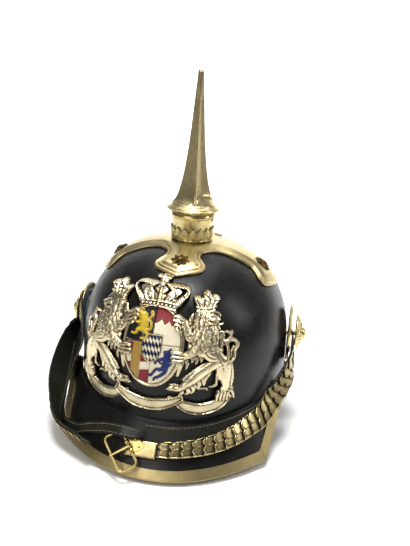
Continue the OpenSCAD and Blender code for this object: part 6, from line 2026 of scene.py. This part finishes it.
ENAMEL_FLOOR, ENAMEL_TOP, SHIELD_STEP = 1.85, 2.3, 0.24
ENAMEL_BASE = ENAMEL_FLOOR - 0.02
SMALL_SHIELD = np.array([[-7.6, 8.2], [7.6, 8.2], [7.6, -4.5], [6.2, -9.2], [3.6, -12], [0, -13.2],
                         [-3.6, -12], [-6.2, -9.2], [-7.6, -4.5]])


def shield_grid():
    return Relief([-25, -35], [25, 35], SHIELD_STEP)


def joined(*edges):
    """The fields together, each as a signed distance."""
    return np.minimum.reduce(edges)


def common(*edges):
    """What the fields have in common."""
    return np.maximum.reduce(edges)


def tile(name, edge, color, node, gap=0.16):
    """One colour of enamel, as thin glass laid on the shield's floor."""
    r = shield_grid()
    r.edge = edge + gap
    r.height = ENAMEL_TOP + wobble(vec(r.P, r.W, 0), 1.6, 5) * 0.03
    slot = "enamel_" + color.replace("dark_", "")
    return r.solid(name, ENAMEL[color], node, slot, base=ENAMEL_BASE, roll=0.35)


def small_lion(r):
    """The gold lion of the first quarter, standing and facing outwards."""
    r.stroke([[-9.5, 20.5], [-8.2, 15.5], [-7.6, 11]], [3.3, 3.2, 3.0], 3.3)
    r.stroke([[-12.2, 24.2], [-9.8, 22.4]], [2.4, 2.8], 3.4)
    r.stroke([[-14.6, 23.6], [-12.6, 24]], [0.9, 1.6], 3.3)
    r.stroke([[-11, 19.8], [-14.4, 20.4], [-17.2, 22.4], [-18.6, 21.6]], [1.5, 1.3, 1.1, 0.8], 3.1)
    r.stroke([[-10.4, 16.4], [-13.8, 15.4], [-16.8, 16.4], [-18.4, 15.2]], [1.5, 1.3, 1.1, 0.8], 3.1)
    r.stroke([[-8, 10.6], [-12, 10.2], [-14, 6.6], [-17, 6.4]], [2.2, 1.7, 1.1, 0.8], 3.1)
    r.stroke([[-6.6, 10], [-4.4, 7], [-6, 4.4], [-9.4, 3.6]], [2.2, 1.5, 1.1, 0.8], 3.1)
    r.stroke([[-5.4, 10.6], [-2.6, 12.6], [-2.8, 17], [-4.6, 19.6], [-2.6, 22.6], [-3.4, 25.6]],
             [0.9, 0.9, 0.8, 0.9, 1.0, 1.2], 2.9)
    r.settle(0.3)
    draw = np.random.default_rng(4)
    for w in (15.4, 17.6, 19.8, 22):
        for p in (-11.4, -9.4, -7.4):
            p = p + draw.normal() * 0.3
            r.lock([[p, w + 1.2], [p - 0.4, w - 0.6], [p + 0.7, w - 2.2]], 0.9, 0.45)
    for k in range(4):
        r.bead([-13.6 + k * 1.2, 27.0 - 0.25 * (k - 1.5) ** 2], 0.62, 0.9)


def blue_lion(r):
    """The navy lion of the fourth quarter, standing."""
    r.stroke(seen((9.2, -6.5), (8.8, -11), (7.8, -15.5)), [2.7, 2.6, 2.4], 2.7)
    r.stroke(seen((7.2, -4.4), (9.4, -4.6)), [1.3, 1.9], 2.7)
    r.stroke(seen((10.6, -2.8), (11.6, -1.4)), [0.9, 0.5], 2.6)
    r.stroke(seen((8, -9), (4, -10.6), (0.8, -12.2), (0.2, -14)), [1.6, 1.3, 1.1, 0.8], 2.6)
    r.stroke(seen((8, -12.5), (5, -13.6), (3.4, -12.4)), [1.1, 0.8, 0.6], 2.6)
    r.stroke(seen((7.8, -15.4), (4.6, -18.2), (1, -18.6), (-2.6, -23.6), (-4.4, -23.4)),
             [2.0, 1.6, 1.2, 1.1, 1.0], 2.6)
    r.stroke(seen((8.6, -16), (7.4, -20.4), (3.4, -24), (0.4, -25.6), (-0.6, -27.4)),
             [2.0, 1.6, 1.3, 1.1, 0.9], 2.6)
    r.stroke(seen((9.8, -16), (12.2, -12.6), (11.8, -8.4), (13.4, -5.4)), [0.6, 0.6, 0.7, 0.9], 2.6)


def lozenges(r):
    """Slanted diamonds over the small shield, every other one taken."""
    x = (r.P + 0.36 * r.W) / 2.7
    y = r.W / 6.6
    a, b = x + y, x - y
    i, j = np.floor(a), np.floor(b)
    near = np.minimum(np.minimum(a - i, i + 1 - a), np.minimum(b - j, j + 1 - b)) * 2.4
    return np.where((i + j) % 2 == 0, -near, near)


def build_shield():
    r = shield_grid()
    rim = shield_edge(r)
    P, W = r.P, r.W
    inner = r.shape_edge(SMALL_SHIELD)
    field = common(rim + 1.9, 0.35 - inner)
    gold_lion, navy_lion = shield_grid(), shield_grid()
    small_lion(gold_lion)
    blue_lion(navy_lion)
    teeth = np.interp(P, [0, 1.2, 5, 7.6, 10.6, 13, 15.6, 18.6, 24],
                      [17.4, 17, 20.6, 16.4, 19.8, 15.6, 18.6, 15, 18])
    upper, lower = 1.25 - W, W - 0.75
    left, right = P + 0.1, 0.1 - P
    chief = (teeth - W) * 0.62
    black = common(field, left, upper, 0.12 - gold_lion.edge)
    red_chief = common(field, right, chief)
    below_chief = common(field, right, upper, -chief)
    fourth = common(field, right, lower, 0.12 - navy_lion.edge)
    lean = 0.03 * (W + 14)
    pale = common(field, lower, np.abs(P + 11.4 - lean) - 3.6)
    bend_out = common(field, lower, P + 15.2 - lean)
    bend_in = common(field, lower, left, lean - P - 7.6)
    slope = W - 0.22 * (P + 11)

    def band(high, low):
        return np.maximum(slope - high, low - slope)

    red_bends = joined(common(bend_out, band(0, -8.6)), common(bend_out, band(-15.2, -30)),
                       common(bend_in, band(-9.6, -15.6)), common(bend_in, band(-22, -34)),
                       common(bend_in, band(2, -3.4)))
    white_bends = joined(common(bend_out, band(-8.6, -15.2)), common(bend_in, band(-15.6, -22)),
                         common(bend_in, band(-3.4, -9.6)))
    diamonds = lozenges(r)
    inside = inner + 0.5
    # Metal: rolled rim, thin lines between the fields and the small shield's own border
    r.edge = rim
    r.height = np.where(rim > -1.75, ENAMEL_FLOOR + (3.0 - ENAMEL_FLOOR) * np.sqrt(
        np.clip(1 - (np.abs(rim + 0.85) / 0.92) ** 2, 0, 1)), ENAMEL_FLOOR - 0.12)
    r.height = np.maximum(r.height, np.where(np.abs(inner) < 0.4, 2.55, 0))
    for low, high in (([0, 8.5], [0, 31]), ([0, -31], [0, -13.4]), ([-22, 1], [-8, 1]), ([8, 1], [22, 1])):
        r.stroke([low, high], 0.22, 2.36, 0, outline=False)
    r.solid("shield_metal", PLATE_METAL, "shield_rim", "plate_metal")
    tile("tiles_black", black, "black", "enamel_black")
    tile("tiles_red", joined(red_chief, red_bends), "red", "enamel_red")
    tile("tiles_white", joined(below_chief, fourth, white_bends, common(inside, -diamonds)), "white",
         "enamel_white")
    tile("tiles_gold", pale, "gold", "enamel_gold")
    tile("tiles_navy", common(inside, diamonds), "dark_blue", "enamel_blue", gap=0.1)
    for lion, name, look, slot in ((navy_lion, "quarter_lion_navy", "blue", "enamel_blue"),
                                   (gold_lion, "quarter_lion_gold", "lion", "enamel_gold")):
        lion.height = np.maximum(lion.height, ENAMEL_FLOOR + 0.2)
        lion.solid(name, ENAMEL[look], (), slot, base=ENAMEL_BASE)


build_plate()
build_shield()

# Hidden CAD pieces that stay

dress(HIDDEN_BRASS, "star_stud_nuts", "spike_socket", "seat_ring", "spike_stud", "boss_screws", "boss_nuts",
      "plate_posts", "plate_nuts", "strap_lug_left", "strap_lug_right")

# Floor and light

FLOOR_GAP = 0.0002


def build_floor():
    s = Shader("pale_floor")
    s.finish(color=s.ramp(s.noise(3.0, 2, 0.5), (0.3, (0.93, 0.93, 0.92)), (0.7, (0.95, 0.95, 0.945))),
             rough=s.plus(s.times(s.noise(40, 3, 0.5), 0.1), 0.75))
    level = cad_box[0].z - FLOOR_GAP
    # A sheet of paper that curves up behind the helmet
    ys = np.concatenate([np.linspace(-3, 1.2, 12), 1.2 + 1.4 * np.sin(np.radians(np.linspace(6, 90, 16)))])
    zs = np.concatenate([np.zeros(12), 1.4 * (1 - np.cos(np.radians(np.linspace(6, 90, 16))))])
    ys, zs = np.append(ys, ys[-1]), np.append(zs, 4.0)
    xs = np.linspace(-4, 4, 9)
    grid = vec(xs[:, None], ys[None, :], zs[None, :] + level)
    data = bpy.data.meshes.new("floor")
    data.from_pydata(grid.reshape(-1, 3).tolist(), [], grid_faces(len(xs), len(ys)).tolist())
    data.shade_smooth()
    data.materials.append(s.material)
    floor = bpy.data.objects.new("floor", data)
    bpy.context.scene.collection.objects.link(floor)


def add_light(name, place, aim, size, power, color=(1, 1, 1), beam=180):
    data = bpy.data.lights.new(name, "AREA")
    data.shape, data.size, data.size_y = "RECTANGLE", size[0], size[1]
    data.energy, data.color, data.spread = power, color, math.radians(beam)
    lamp = bpy.data.objects.new(name, data)
    lamp.location = place
    lamp.rotation_euler = (Vector(place) - Vector(aim)).to_track_quat("Z", "Y").to_euler()
    bpy.context.scene.collection.objects.link(lamp)


def add_world(level):
    world = bpy.data.worlds.new("studio")
    bpy.context.scene.world = world
    world.use_nodes = True
    world.node_tree.nodes["Background"].inputs["Color"].default_value = (0.95, 0.97, 1.0, 1)
    world.node_tree.nodes["Background"].inputs["Strength"].default_value = level


build_floor()
AIM = (0, -0.02, 0.13)
add_light("key", (-0.45, -1.25, 1.15), AIM, (1.0, 0.7), 7.5, (1.0, 0.98, 0.95))
add_light("side", (1.15, 0.05, 0.85), AIM, (0.35, 0.8), 4.0)
add_light("top", (-0.1, 0.55, 1.15), AIM, (0.8, 0.5), 3.2)
add_light("paper", (0.0, 0.9, 1.9), (0, 2.2, 0.3), (2.6, 1.2), 55, beam=120)
add_light("floor_front", (0.0, -0.1, 2.6), (0, 0.1, 0), (0.8, 0.8), 8, beam=60)
add_world(0.16)
bpy.context.scene.view_settings.view_transform = "Standard"
